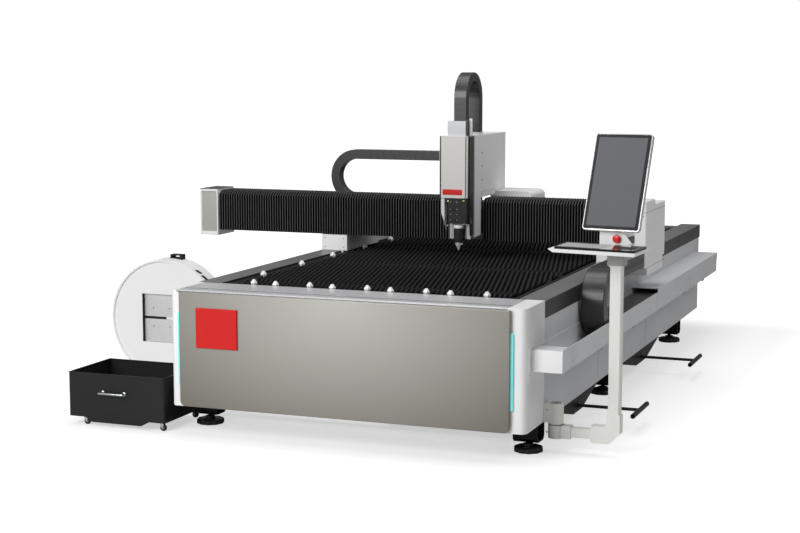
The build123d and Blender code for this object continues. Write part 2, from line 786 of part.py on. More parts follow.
# Swinging arm: lower knuckle, tube, chamfered elbow and column
column_x = px + arm_reach
arm_low = knuckle_low + 14
lower = post(px, pivot_y, knuckle_low, knuckle_split - slide_gap, knuckle_radius)
arm = slab(px + 20, column_x - 60, pivot_y - arm_height / 2, pivot_y + arm_height / 2, arm_low, arm_low + arm_height)
lower += arm
lower -= post(px, pivot_y, knuckle_low + 10 - slide_gap, knuckle_split, pin_radius + pin_gap, turned=True)
socket = slab(px + 40, px + 93, pivot_y - 36, pivot_y + 36, knuckle_low + 4, knuckle_low + 78)
lower += socket
half = column_size / 2
elbow_out = column_x + half + elbow_margin
elbow_in = column_x - half - elbow_margin
elbow = Plane((0, pivot_y + half + elbow_margin, 0), x_dir=(1, 0, 0), z_dir=(0, -1, 0)) * extrude(make_face(Polyline(
    (column_x - elbow_back, elbow_low), (elbow_out - elbow_corner, elbow_low), (elbow_out, elbow_low + elbow_corner),
    (elbow_out, column_low), (elbow_in, column_low), (elbow_in, elbow_shoulder),
    (column_x - elbow_back, elbow_shoulder), close=True)), column_size + 2 * elbow_margin)
lower += elbow
column = slab(column_x - half, column_x + half, pivot_y - half, pivot_y + half, column_low, column_top)
nodes["console_arm"] = [lower]
collar = slab(column_x - collar_size / 2, column_x + collar_size / 2, pivot_y - collar_size / 2,
              pivot_y + collar_size / 2, column_top, column_top + collar_height)
nodes["console_column"] = [beveled(column, Axis.Z, 6), beveled(collar, Axis.Z, 10)]
place = Pos(column_x, pivot_y, 0) * Rot(Z=-head_turn)
spigot_low = column_top + collar_height

# Tray, keyboard, neck and emergency button, drawn square and then turned
tray_back = neck_front - 1


def tray_z(v):
    """Height of the tray's sloping top at a distance from the column."""
    return tray_low + tray_sheet + (v + tray_front) * tray_rise


tray = along_x([(-tray_front, tray_low - tray_lip), (-tray_front, tray_z(-tray_front)), (tray_back, tray_z(tray_back)),
                (tray_back, tray_low), (-tray_front + 4, tray_low), (-tray_front + 4, tray_low - tray_lip)],
               -tray_left, tray_right)
tray += slab(-neck_left, neck_right, -tray_front + 40, neck_front + neck_depth, carrier_low, tray_low)
tray += post(0, 0, spigot_low + slide_gap, carrier_low, 36, turned=True)
nodes["console_tray"] = [place * tray]
keys = along_x([(-keys_front, tray_z(-keys_front)), (-keys_front, tray_z(-keys_front) + keys_height),
                (-keys_back, tray_z(-keys_back) + keys_height), (-keys_back, tray_z(-keys_back))],
               -keys_left, keys_right)
nodes["keyboard"] = [place * keys]
neck = slab(-neck_left, neck_right, neck_front, neck_front + neck_depth, tray_low, neck_top)
neck = chamfer(neck.edges().filter_by(Axis.X).sort_by(Axis.Z)[-2:].sort_by(Axis.Y)[-1], 30)
button_z = tray_low + 64
neck -= bar_y(button_x, neck_front - 1, neck_front + 30, button_z, 8 + pin_gap, hole=True)
neck += along_y([(neck_right, neck_top - 8), (neck_right, tray_low + 24), (neck_right + gusset_width, tray_low + 40)],
                neck_front, neck_front + 4)
hinge_z = neck_top + 26
lugs = slab(-50, -38, neck_front + 12, neck_front + 50, neck_top, hinge_z + 14)
lugs += slab(38, 50, neck_front + 12, neck_front + 50, neck_top, hinge_z + 14)
hinge_y = neck_front + 31
lugs -= bar_x(-60, 60, hinge_y, hinge_z, hinge_radius, hole=True)
neck += lugs
nodes["console_neck"] = [place * neck]
cap_front = neck_front - button_travel - 14
button = bar_y(button_x, cap_front, neck_front - button_travel - slide_gap, button_z, button_radius)
button += bar_y(button_x, neck_front - button_travel - slide_gap, neck_front + 20, button_z, 8)
nodes["emergency_button"] = [place * button]

# Monitor leaning back, with a pin through the neck's lugs
tilt = radians(monitor_tilt)
screen = slab(-monitor_width / 2, monitor_width / 2, 0, monitor_thick, 0, monitor_height)
screen = beveled(screen, Axis.Y, 6)
screen -= slab(-monitor_width / 2 + 10, monitor_width / 2 - 10, -1, 3, 10, monitor_height - 10)
lean_y = neck_front - monitor_ahead
monitor = Pos(0, lean_y, monitor_low) * Rot(X=-monitor_tilt) * screen
ear = slab(-36, 36, neck_front + 2, hinge_y, hinge_z - 10, hinge_z + 10)
ear += bar_x(-36, 36, hinge_y, hinge_z, hinge_radius - 1)
ear += bar_x(-52, 52, hinge_y, hinge_z, hinge_radius - pin_gap, turned=True)
ear -= monitor
nodes["monitor"] = [place * monitor, place * ear.solids().sort_by(SortBy.VOLUME)[-1]]

# Drawers, their runners and pull rods
drawer_names = ("front", "rear")
runners = []
for name, centre, length, flat in zip(drawer_names, drawer_centres, drawer_lengths, drawer_flats):
    s = drawer_sheet
    lip = drawer_lip
    y0, y1 = centre - length / 2, centre + length / 2
    f0, f1 = centre - flat / 2, centre + flat / 2
    body = [(y0 + lip, drawer_high), (f0, drawer_low), (f1, drawer_low), (y1 - lip, drawer_high)]
    hollow = [(y0 + lip + 3 * s, drawer_high + 1), (f0 + s, drawer_low + s), (f1 - s, drawer_low + s),
              (y1 - lip - 3 * s, drawer_high + 1)]
    x1 = bed_width
    x0 = x1 - drawer_depth
    tub = along_x(body, x0, x1) - along_x(hollow, x0 + s, x1 - s)
    tub += slab(x0, x1, y0, y0 + lip + 2 * s, drawer_high - s, drawer_high)
    tub += slab(x0, x1, y1 - lip - 2 * s, y1, drawer_high - s, drawer_high)
    rod = bar_x(x1, x1 + rod_length - grip_radius, centre, rod_z, rod_radius)
    grip = bar_y(x1 + rod_length - grip_radius, centre - grip_length / 2, centre + grip_length / 2, rod_z, grip_radius)
    nodes["drawer_" + name] = [tub, rod + grip]
    for edge, way in ((y0, -1), (y1, 1)):
        outline = [(edge + way * 2, ground_gap), (edge + way * 2, drawer_high - s - slide_gap),
                   (edge - way * 12, drawer_high - s - slide_gap), (edge - way * 12, drawer_high - 2 * s - slide_gap),
                   (edge + way * (2 + s), drawer_high - 2 * s - slide_gap), (edge + way * (2 + s), ground_gap)]
        runners.append(along_x(outline, x0 + 20, between_right))
nodes["drawer_runners"] = runners

# Cart: open tub with a skirt, a handle and four casters
c0 = cart_right - cart_length
c1 = cart_right
d0 = cart_front
d1 = cart_front + cart_depth
s = cart_sheet
cart = slab(c0, c1, d0, d1, cart_low, cart_high)
cart = beveled(cart, Axis.Z, 8)
cart -= slab(c0 + s, c1 - s, d0 + s, d1 - s, cart_low + s, cart_high + 1)
for y in (d0, d1 - s):
    cart += along_y([(c0 + 114, cart_low), (c0 + 165, apron_low), (c1 - 167, apron_low), (c1 - 109, cart_low)], y, y + s)
casters = []
caster_places = [(x, y) for x in (c0 + caster_inset + 58, c1 - caster_inset) for y in (d0 + caster_inset, d1 - caster_inset)]
caster_names = ("left_front", "left_rear", "right_front", "right_rear")
axle_z = wheel_radius
fork_top = cart_low - slide_gap
for name, (x, y) in zip(caster_names, caster_places):
    cart -= post(x, y, cart_low - 1, cart_low + s + 1, 5 + pin_gap, turned=True)
    half = wheel_width / 2 + 1
    fork = slab(x - 14, x + 14, y - half - fork_sheet, y + half + fork_sheet, fork_top - fork_sheet, fork_top)
    cheek = [(x - 14, fork_top - fork_sheet), (x + 14, fork_top - fork_sheet),
             (x + caster_trail + 6, axle_z - 6), (x + caster_trail - 6, axle_z - 6)]
    for y0 in (y - half - fork_sheet, y + half):
        fork += along_y(cheek, y0, y0 + fork_sheet)
    fork += bar_y(x + caster_trail, y - half, y + half, axle_z, 4)
    fork += post(x, y, fork_top, cart_low + s, 5)
    nodes["caster_fork_" + name] = [fork]
    wheel = bar_y(x + caster_trail, y - wheel_width / 2, y + wheel_width / 2, axle_z, wheel_radius)
    wheel -= bar_y(x + caster_trail, y - wheel_width, y + wheel_width, axle_z, 4 + pin_gap, turned=True)
    nodes["caster_wheel_" + name] = [wheel]
mid = (c0 + c1) / 2 - 20
handle_z = 217
grip = bar_x(mid - 82, mid + 82, d0 - 32, handle_z, handle_radius)
for x in (mid - 75, mid + 75):
    grip += bar_y(x, d0 - 32, d0, handle_z, handle_radius - 1)
nodes["cart_tub"] = [cart, grip]

# Round cabinet: rimmed drum with a recessed window
drum_plane = Plane((cabinet_x, cabinet_y + cabinet_depth, cabinet_radius), x_dir=(1, 0, 0), z_dir=(0, -1, 0))
drum = drum_plane * extrude(RegularPolygon(cabinet_radius, 64), cabinet_depth)
face_y = cabinet_y + cabinet_rim
drum -= drum_plane * Pos(0, 0, cabinet_depth - cabinet_rim) * extrude(
    RegularPolygon(cabinet_radius - cabinet_rim, 64), cabinet_rim)
drum -= slab(cabinet_x - window_width / 2, cabinet_x + window_width / 2, face_y - 1, face_y + window_depth,
             window_low, window_high)
drum -= slab(cabinet_x - cabinet_radius, cabinet_x + cabinet_radius, cabinet_y - 1, cabinet_y + cabinet_depth + 1,
             -1, base_height)
nodes["cabinet_drum"] = [drum]
base = slab(cabinet_x - base_width / 2, cabinet_x + base_width / 2, cabinet_y, cabinet_y + cabinet_depth, 0, base_height)
window_mid = (window_low + window_high) / 2
plates = []
for z0, z1 in ((window_low + 8, window_mid - 8), (window_mid + 8, window_high - 8)):
    plates.append(slab(cabinet_x - window_width / 2 + 8, cabinet_x + window_width / 2 - 8,
                       face_y + window_depth - 12, face_y + window_depth, z0, z1))
latch = slab(cabinet_x - 14, cabinet_x + 14, face_y + window_depth - 20, face_y + window_depth,
             window_mid - 7, window_mid + 7)
nodes["cabinet_plates"] = plates + [latch]
top_z = 2 * cabinet_radius
lift_y = cabinet_y + lift_ahead
lift_x = cabinet_x + lift_shift
lift = slab(lift_x - lift_width / 2, lift_x + lift_width / 2, lift_y, lift_y + lift_depth,
            top_z - lift_sink, top_z + lift_height)
lift -= slab(lift_x - lift_width / 2 + lift_frame, lift_x + lift_width / 2 - lift_frame,
             lift_y - 1, lift_y + lift_depth + 1, top_z + lift_rise, top_z + lift_height - lift_bar)
lift -= drum
nodes["cabinet_brackets"] = [lift, base]

# The origin is on the floor at the middle of the whole machine
boxes = [solid.bounding_box() for solids in nodes.values() for solid in solids]
x_middle = (min(b.min.X for b in boxes) + max(b.max.X for b in boxes)) / 2
y_middle = (min(b.min.Y for b in boxes) + max(b.max.Y for b in boxes)) / 2
print("origin", x_middle, y_middle)

os.makedirs("parts", exist_ok=True)
for name, solids in nodes.items():
    pieces = [Pos(-x_middle, -y_middle, 0) * piece for part in solids for piece in part.solids()]
    shape = pieces[0] if len(pieces) == 1 else Compound(children=pieces)
    export_step(shape, f"parts/{name}.step")
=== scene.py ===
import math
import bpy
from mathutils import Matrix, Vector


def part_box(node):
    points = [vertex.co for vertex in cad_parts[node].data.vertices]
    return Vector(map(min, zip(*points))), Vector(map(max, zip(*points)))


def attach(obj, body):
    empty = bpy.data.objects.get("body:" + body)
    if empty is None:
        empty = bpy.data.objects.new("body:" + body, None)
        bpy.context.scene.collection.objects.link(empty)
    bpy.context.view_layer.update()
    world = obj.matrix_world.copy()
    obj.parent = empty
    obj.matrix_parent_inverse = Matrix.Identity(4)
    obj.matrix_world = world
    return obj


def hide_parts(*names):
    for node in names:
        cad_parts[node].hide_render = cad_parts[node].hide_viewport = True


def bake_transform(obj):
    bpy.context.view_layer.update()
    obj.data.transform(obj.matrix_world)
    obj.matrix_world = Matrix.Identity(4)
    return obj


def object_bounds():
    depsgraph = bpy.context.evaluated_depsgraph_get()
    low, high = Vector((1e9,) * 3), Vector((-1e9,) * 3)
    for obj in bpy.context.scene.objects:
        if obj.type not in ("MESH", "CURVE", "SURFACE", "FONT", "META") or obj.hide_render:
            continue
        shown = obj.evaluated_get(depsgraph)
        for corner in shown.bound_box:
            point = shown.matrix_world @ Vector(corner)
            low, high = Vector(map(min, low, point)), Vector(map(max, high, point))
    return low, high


bl_info = {
    "name": "Flat-bed Laser Cutter",
    "version": (1, 0, 0),
    "blender": (4, 5, 0),
    "location": "3D View > Sidebar > Laser Cutter",
    "description": "Dresses the CAD model of a flat-bed laser cutting machine with its fine pieces and finishes",
    "category": "Object",
}

import bmesh
import bpy
from bpy.props import FloatProperty, FloatVectorProperty, IntProperty, PointerProperty
from bpy.types import Operator, Panel, PropertyGroup
from mathutils import Matrix, Vector

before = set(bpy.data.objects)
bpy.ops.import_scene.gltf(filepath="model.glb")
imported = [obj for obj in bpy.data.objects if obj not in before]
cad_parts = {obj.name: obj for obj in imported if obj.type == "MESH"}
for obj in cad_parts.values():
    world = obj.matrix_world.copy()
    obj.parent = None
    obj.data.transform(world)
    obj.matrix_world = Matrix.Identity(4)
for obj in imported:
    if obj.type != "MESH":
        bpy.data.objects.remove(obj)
cad_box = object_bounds()

# Pieces are drawn in millimetres from the bed's front left corner on the floor
panel_low, panel_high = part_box("front_panel")
bed_corner = Vector((panel_low.x - 0.073, panel_high.y, 0.0))


def at(x, y, z):
    """A place in bed millimetres as a place in the frame."""
    return bed_corner + Vector((x, y, z)) / 1000


def bed_box(node):
    """A node's lowest and highest corner in bed millimetres."""
    return [(corner - bed_corner) * 1000 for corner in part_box(node)]


def linear(colour):
    """A written colour as the light it stands for."""
    return [c / 12.92 if c <= 0.04045 else ((c + 0.055) / 1.055) ** 2.4 for c in colour] + [1.0]


# Materials

def set_inputs(tree, node, **values):
    """Links the named inputs to sockets, or sets them to values."""
    for name, value in values.items():
        socket = node.inputs[name.replace("_", " ")]
        if isinstance(value, bpy.types.NodeSocket):
            tree.links.new(value, socket)
        else:
            socket.default_value = value


def node_in(tree, kind, x, y, **values):
    """Adds a node and fills the inputs that are named."""
    node = tree.nodes.new(kind)
    node.location = (x, y)
    set_inputs(tree, node, **values)
    return node


def new_material(name):
    """A material with only its shader and output."""
    material = bpy.data.materials.new(name)
    material.use_nodes = True
    tree = material.node_tree
    tree.nodes.clear()
    shader = node_in(tree, "ShaderNodeBsdfPrincipled", 300, 0)
    node_in(tree, "ShaderNodeOutputMaterial", 600, 0, Surface=shader.outputs["BSDF"])
    return material, tree, shader


def object_place(tree, scale=(1, 1, 1), offset=(0, 0, 0)):
    """Object coordinates, scaled and moved."""
    place = node_in(tree, "ShaderNodeTexCoord", -1200, 0)
    mapping = node_in(tree, "ShaderNodeMapping", -1000, 0, Scale=scale, Location=offset, Vector=place.outputs["Object"])
    return mapping.outputs["Vector"]


def blend_colours(tree, factor, first, second, x=-300, y=200):
    """Mixes two colours, each a value or a link."""
    mix = tree.nodes.new("ShaderNodeMix")
    mix.data_type = "RGBA"
    mix.location = (x, y)
    set_inputs(tree, mix, Factor=factor, A=first, B=second)
    return mix.outputs["Result"]


def stretch_range(tree, value, low, high, new_low, new_high, x=-500, y=-100):
    """Maps a value from one range to another, held at its ends."""
    node = node_in(tree, "ShaderNodeMapRange", x, y, Value=value, From_Min=low, From_Max=high, To_Min=new_low,
                   To_Max=new_high)
    return node.outputs["Result"]


def noise_at(tree, vector, y, scale, detail):
    """Noise at a place."""
    node = node_in(tree, "ShaderNodeTexNoise", -800, y, Scale=scale, Detail=detail, Vector=vector)
    return node.outputs["Fac"]


def bump_from(tree, height, strength, distance):
    """A bump from a height."""
    node = node_in(tree, "ShaderNodeBump", 0, -300, Strength=strength, Distance=distance, Height=height)
    return node.outputs["Normal"]


def add_surface(tree, shader, vector, roughness, spread, bump, grain):
    """Roughness that varies and a fine bump from noise."""
    noise = noise_at(tree, vector, -250, grain, 3.0)
    rough = stretch_range(tree, noise, 0.3, 0.7, roughness - spread, roughness + spread, -500, -250)
    set_inputs(tree, shader, Roughness=rough)
    if bump:
        set_inputs(tree, shader, Normal=bump_from(tree, noise, bump, 0.001))


def add_shades(tree, vector, colour, amount, scale):
    """Slow cloudy change of a colour."""
    noise = noise_at(tree, vector, 200, scale, 4.0)
    factor = stretch_range(tree, noise, 0.35, 0.65, 0.0, 1.0, -550, 200)
    dark = linear([max(c - amount, 0) for c in colour])
    light = linear([min(c + amount, 1) for c in colour])
    return blend_colours(tree, factor, dark, light)


def paint(name, colour, roughness=0.42, amount=0.012, metallic=0.0, bump=0.06, grain=420.0, coat=0.0, shine=0.5):
    """Sprayed metal: slow shade change and fine orange peel."""
    material, tree, shader = new_material(name)
    vector = object_place(tree)
    add_surface(tree, shader, vector, roughness, 0.04, bump, grain)
    set_inputs(tree, shader, Base_Color=add_shades(tree, vector, colour, amount, 1.3), Metallic=metallic,
               Coat_Weight=coat, Specular_IOR_Level=shine)
    return material


def brushed(name, colour, roughness=0.34, along=(1, 60, 60), bump=0.08):
    """Brushed or drawn metal with streaks along one axis."""
    material, tree, shader = new_material(name)
    vector = object_place(tree, along)
    add_surface(tree, shader, vector, roughness, 0.08, bump, 9.0)
    set_inputs(tree, shader, Base_Color=add_shades(tree, vector, colour, 0.05, 4.0), Metallic=1.0)
    return material


def plastic(name, colour, roughness=0.5, amount=0.01, bump=0.1, grain=900.0):
    """Moulded plastic with a fine spark-eroded grain."""
    return paint(name, colour, roughness, amount, 0.0, bump, grain)


def axis_part(tree, vector, axis, y):
    """One part of a vector."""
    return node_in(tree, "ShaderNodeSeparateXYZ", -1000, y, Vector=vector).outputs[axis]


def vector_step(tree, operation, first, second=None, output="Vector"):
    """One step of vector arithmetic."""
    node = tree.nodes.new("ShaderNodeVectorMath")
    node.operation = operation
    tree.links.new(first, node.inputs[0])
    if second is not None:
        node.inputs[1].default_value = second
    return node.outputs[output]


def two_tone_cover(name, top, side):
    """Rail cover: grey on top and dark on the folded sides."""
    material, tree, shader = new_material(name)
    vector = object_place(tree)
    facing = node_in(tree, "ShaderNodeNewGeometry", -1200, 400)
    up = stretch_range(tree, axis_part(tree, facing.outputs["Normal"], "Z", 400), 0.35, 0.55, 0.0, 1.0, -700, 400)
    shade = add_shades(tree, vector, top, 0.015, 1.5)
    add_surface(tree, shader, vector, 0.4, 0.05, 0.05, 420.0)
    set_inputs(tree, shader, Base_Color=blend_colours(tree, up, linear(side), shade, 0, 300))
    return material


def panel_paint_with_painted_sheen(name, painted_light_colour, painted_shade_colour, low, high):
    """Satin taupe with a painted sheen: palest at the top middle, with painted shade towards the lower corners."""
    material, tree, shader = new_material(name)
    across, down = 1.6 / (high.x - low.x), 0.9 / (high.z - low.z)
    vector = object_place(tree, (across, 0, down), (-across * (low.x + high.x) / 2, 0, -down * high.z))
    length = vector_step(tree, "LENGTH", vector, output="Value")
    factor = stretch_range(tree, length, 0.05, 1.15, 0.0, 1.0, -550, 400)
    add_surface(tree, shader, object_place(tree), 0.36, 0.03, 0.05, 500.0)
    # The blend is painted light: a painted sheen at the top middle that falls to painted shade at the lower corners.
    set_inputs(tree, shader, Base_Color=blend_colours(tree, factor, linear(painted_light_colour), linear(painted_shade_colour)), Metallic=0.25)
    return material


def speckled(name, colour, dots):
    """Cast plate with small light and dark specks."""
    material, tree, shader = new_material(name)
    vector = object_place(tree)
    cells = node_in(tree, "ShaderNodeTexVoronoi", -800, 300, Scale=160.0, Vector=vector)
    factor = stretch_range(tree, cells.outputs["Distance"], 0.12, 0.3, 1.0, 0.0, -550, 300)
    add_surface(tree, shader, vector, 0.45, 0.08, 0.15, 300.0)
    set_inputs(tree, shader, Base_Color=blend_colours(tree, factor, linear(colour), linear(dots)), Metallic=0.3)
    return material


def lit(name, colour, strength):
    """Light strip behind a tinted cover."""
    material, tree, shader = new_material(name)
    vector = object_place(tree)
    add_surface(tree, shader, vector, 0.3, 0.03, 0.02, 200.0)
    set_inputs(tree, shader, Base_Color=add_shades(tree, vector, colour, 0.02, 8.0), Emission_Color=linear(colour),
               Emission_Strength=strength)
    return material


def folded_cloth(name, dark, edge):
    """Coated bellows cloth with a painted highlight in grey along the outer edge of each fold."""
    material, tree, shader = new_material(name)
    vector = object_place(tree)
    fold = node_in(tree, "ShaderNodeAttribute", -900, 500)
    fold.attribute_name = "fold"
    # The fold mark picks out the ridges that get the painted highlight.
    factor = stretch_range(tree, fold.outputs["Fac"], 0.85, 0.99, 0.0, 1.0, -600, 500)
    base = add_shades(tree, vector, dark, 0.008, 30.0)
    weave = noise_at(tree, vector, -250, 1400.0, 2.0)
    set_inputs(tree, shader, Base_Color=blend_colours(tree, factor, base, linear(edge), 0, 300),
               Normal=bump_from(tree, weave, 0.15, 0.0006), Specular_IOR_Level=0.2,
               Roughness=stretch_range(tree, weave, 0.3, 0.7, 0.5, 0.66, -500, -250))
    return material


def painted_shade_steel(name, dark, painted_light_colour, low, high):
    """Black rolled slat steel with painted light at its tips and painted shade lower down."""
    material, tree, shader = new_material(name)
    vector = object_place(tree)
    # The height mask sets painted shade low on the slat and painted light at the tooth tips.
    height = stretch_range(tree, axis_part(tree, vector, "Z", 500), low, high, 0.0, 1.0, -700, 500)
    shade = add_shades(tree, vector, dark, 0.02, 12.0)
    add_surface(tree, shader, vector, 0.46, 0.1, 0.12, 160.0)
    set_inputs(tree, shader, Base_Color=blend_colours(tree, height, shade, linear(painted_light_colour), 0, 300),
               Specular_IOR_Level=0.12)
    return material


finishes = {}


def make_finishes(colours):
    """Every finish on the machine, by its name."""
    finishes.update({
        "white": paint("white_enamel", colours.white, 0.4, 0.008),
        "wall": paint("side_enamel", colours.wall, 0.42, 0.01),
        "head": paint("head_enamel", colours.head, 0.4, 0.008),
        "cap": paint("end_cap_enamel", (0.68, 0.68, 0.655), 0.42, 0.012),
        "mid": paint("mid_grey_enamel", (0.34, 0.34, 0.345), 0.45, 0.015),
        "shade": paint("dark_grey_enamel", (0.22, 0.22, 0.225), 0.42, 0.012),
        # Front panel: taupe with a painted sheen at the top middle and painted shade at the lower corners.
        "taupe": panel_paint_with_painted_sheen("taupe_enamel", colours.panel_highlight_painted, colours.panel_shade_painted, panel_low,
                             panel_high),
        "cover": two_tone_cover("rail_cover_enamel", colours.cover, colours.band),
        "frame": paint("frame_grey", (0.42, 0.43, 0.44), 0.5, 0.02),
        "beam": paint("beam_grey", (0.62, 0.63, 0.64), 0.45, 0.015),
        "black": paint("black_enamel", (0.13, 0.13, 0.133), 0.42, 0.01, shine=0.25),
        "soft_black": plastic("black_plastic", (0.09, 0.09, 0.095), 0.5),
        "rubber": plastic("wheel_rubber", (0.06, 0.06, 0.06), 0.75, 0.02, 0.25, 300.0),
        "beige": paint("console_enamel", colours.console, 0.42, 0.008),
        "collar": paint("collar_grey", (0.63, 0.635, 0.62), 0.4, 0.012),
        "red": paint("red_plate", colours.plate, 0.4, 0.012, shine=0.3),
        "button": plastic("button_red", (0.90, 0.10, 0.10), 0.3, 0.02, 0.03, 200.0),
        "steel": brushed("machined_steel", (0.66, 0.67, 0.68), 0.36, (40, 40, 3)),
        "rail": brushed("ground_rail", (0.7, 0.71, 0.72), 0.3, (60, 1, 60)),
        "trim": paint("drawn_aluminium", (0.83, 0.83, 0.84), 0.3, 0.012, 0.35, 0.03, 300.0),
        "deep": paint("drawer_black", (0.03, 0.03, 0.032), 0.42, 0.006, shine=0.2),
        "brass": brushed("brass", (0.80, 0.66, 0.36), 0.28, (30, 30, 4)),
        "zinc": brushed("zinc_screw", (0.72, 0.73, 0.74), 0.3, (20, 20, 20)),
        "chain": plastic("chain_plastic", colours.chain, 0.3, 0.012, 0.04, 700.0),
        "gap": plastic("seam_shadow", (0.05, 0.05, 0.052), 0.8),
        "seam": paint("panel_seam", (0.42, 0.43, 0.44), 0.6),
        # Bellows: black cloth with a painted highlight in grey along each ridge.
        "bellows": folded_cloth("bellows_cloth", (0.02, 0.02, 0.022), (0.36, 0.36, 0.365)),
        # Slats: black with painted shade below and painted light at the tooth tips.
        "slat": painted_shade_steel("slat_steel", (0.005, 0.005, 0.006), (0.21, 0.21, 0.215), 0.854, 0.887),
        "plate": speckled("speckled_plate", (0.84, 0.84, 0.84), (0.62, 0.62, 0.62)),
        "light": lit("light_cover", colours.light, 0.22),
        "silver": paint("silver_rim", (0.83, 0.83, 0.82), 0.3, 0.01, 0.35),
        "screen": paint("screen_glass", (0.415, 0.42, 0.435), 0.5, 0.006, 0.0, 0.0, 100.0, 0.0, 0.06),
        "bezel": paint("screen_bezel", (0.19, 0.19, 0.195), 0.5, 0.01, 0.0, 0.05, 900.0, 0.0, 0.15),
        "key_glass": paint("keyboard_glass", (0.07, 0.07, 0.075), 0.06, 0.004, 0.0, 0.0, 100.0, 1.0),
        "key": plastic("key_caps", (0.74, 0.74, 0.745), 0.4),
        "chrome": paint("plated_fork", (0.80, 0.80, 0.81), 0.2, 0.02, 1.0, 0.0, 60.0),
        "ball": plastic("roller_ball", (0.93, 0.93, 0.92), 0.3, 0.01, 0.02, 200.0),
        "ceramic": plastic("ceramic_ring", (0.92, 0.92, 0.90), 0.35),
    })


# Mesh tools

SHARP_ANGLE = math.radians(34)


def new_object(name, data):
    """An object in the scene's collection."""
    thing = bpy.data.objects.new(name, data)
    bpy.context.collection.objects.link(thing)
    return thing


class Shape:
    """Collects solids in bed millimetres and makes them one piece."""

    def __init__(self):
        self.points = []
        self.faces = []
        self.kinds = []

    def take(self, part, kind=0, turn=None):
        """Adds a finished mesh part, turned into place, and frees it."""
        if turn is not None:
            bmesh.ops.transform(part, matrix=turn, verts=part.verts[:])
        bmesh.ops.recalc_face_normals(part, faces=part.faces[:])
        part.verts.index_update()
        start = len(self.points)
        self.points += [v.co.copy() for v in part.verts]
        self.faces += [[start + v.index for v in face.verts] for face in part.faces]
        self.kinds += [kind] * len(part.faces)
        part.free()

    def loft(self, rings, kind=0, bevel=0.0, turn=None):
        """A closed solid through several matching outlines."""
        part = bmesh.new()
        made = [[part.verts.new(p) for p in ring] for ring in rings]
        part.faces.new(made[0][::-1])
        part.faces.new(made[-1])
        for lower, upper in zip(made, made[1:]):
            for i in range(len(lower)):
                j = (i + 1) % len(lower)
                part.faces.new((lower[i], lower[j], upper[j], upper[i]))
        if bevel:
            bmesh.ops.bevel(part, geom=part.edges[:], offset=bevel, segments=2, profile=0.7, affect="EDGES",
                            clamp_overlap=True)
        self.take(part, kind, turn)

    def block(self, x0, x1, y0, y1, z0, z1, kind=0, bevel=0.0, turn=None):
        """A block between six planes."""
        outline = ((x0, y0), (x1, y0), (x1, y1), (x0, y1))
        self.along("z", outline, z0, z1, kind, bevel, turn)

    def along(self, axis, outline, a, b, kind=0, bevel=0.0, turn=None):
        """An outline in the two other axes, run along one axis."""
        def lift(p, value):
            coords = list(p)
            coords.insert("xyz".index(axis), value)
            return coords

        self.loft([[lift(p, value) for p in outline] for value in (a, b)], kind, bevel, turn)

    def bar(self, a, b, radius, kind=0, sides=24, end_radius=None, bevel=0.0, turn=None):
        """A round bar or cone between two points."""
        a, b = Vector(a), Vector(b)
        frame_turn = (b - a).to_track_quat("Z", "Y").to_matrix()
        ring = [(math.cos(2 * math.pi * i / sides), math.sin(2 * math.pi * i / sides)) for i in range(sides)]
        ends = ((a, radius), (b, radius if end_radius is None else end_radius))
        rings = [[end + frame_turn @ Vector((c * r, s * r, 0)) for c, s in ring] for end, r in ends]
        self.loft(rings, kind, bevel, turn)

    def lathe(self, a, axis, profile, kind=0, sides=32, turn=None):
        """A closed (radius, height) profile spun about an axis through a."""
        base = Vector(axis).to_track_quat("Z", "Y").to_matrix()
        part = bmesh.new()
        rings = []
        for radius, height in profile:
            if radius < 1e-6:
                rings.append([part.verts.new(Vector(a) + base @ Vector((0, 0, height)))])
                continue
            ring = []
            for i in range(sides):
                t = 2 * math.pi * i / sides
                spot = Vector((radius * math.cos(t), radius * math.sin(t), height))
                ring.append(part.verts.new(Vector(a) + base @ spot))
            rings.append(ring)
        for lower, upper in zip(rings, rings[1:]):
            for i in range(sides):
                j = (i + 1) % sides
                corners = [lower[i % len(lower)], lower[j % len(lower)], upper[j % len(upper)], upper[i % len(upper)]]
                unique = []
                for corner in corners:
                    if corner not in unique:
                        unique.append(corner)
                if len(unique) > 2:
                    part.faces.new(unique)
        self.take(part, kind, turn)

    def mesh(self, name, looks, local=False):
        """The collected faces as a mesh, in metres."""
        mesh = bpy.data.meshes.new(name)
        places = [p / 1000 if local else at(*p) for p in map(Vector, self.points)]
        mesh.from_pydata(places, [], self.faces)
        for look in looks:
            mesh.materials.append(finishes[look])
        mesh.polygons.foreach_set("material_index", self.kinds)
        mesh.polygons.foreach_set("use_smooth", [True] * len(self.faces))
        mesh.update()
        mesh.set_sharp_from_angle(angle=SHARP_ANGLE)
        return mesh

    def piece(self, name, body, looks, replaces=()):
        """Makes the object and fixes it to its body."""
        return settle(new_object(name, self.mesh(name, looks)), body, replaces)


def settle(thing, body, replaces=()):
    """Fixes a finished piece to its body and hides the nodes it stands for."""
    if replaces:
        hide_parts(*replaces)
    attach(thing, body)
    return thing


def corner_round(x0, x1, y0, y1, radius, steps=5):
    """Outline of a rectangle with rounded corners."""
    points = []
    for cx, cy, start in ((x1 - radius, y1 - radius, 0), (x0 + radius, y1 - radius, 90),
                          (x0 + radius, y0 + radius, 180), (x1 - radius, y0 + radius, 270)):
        for i in range(steps + 1):
            t = math.radians(start + 90 * i / steps)
            points.append((cx + radius * math.cos(t), cy + radius * math.sin(t)))
    return points


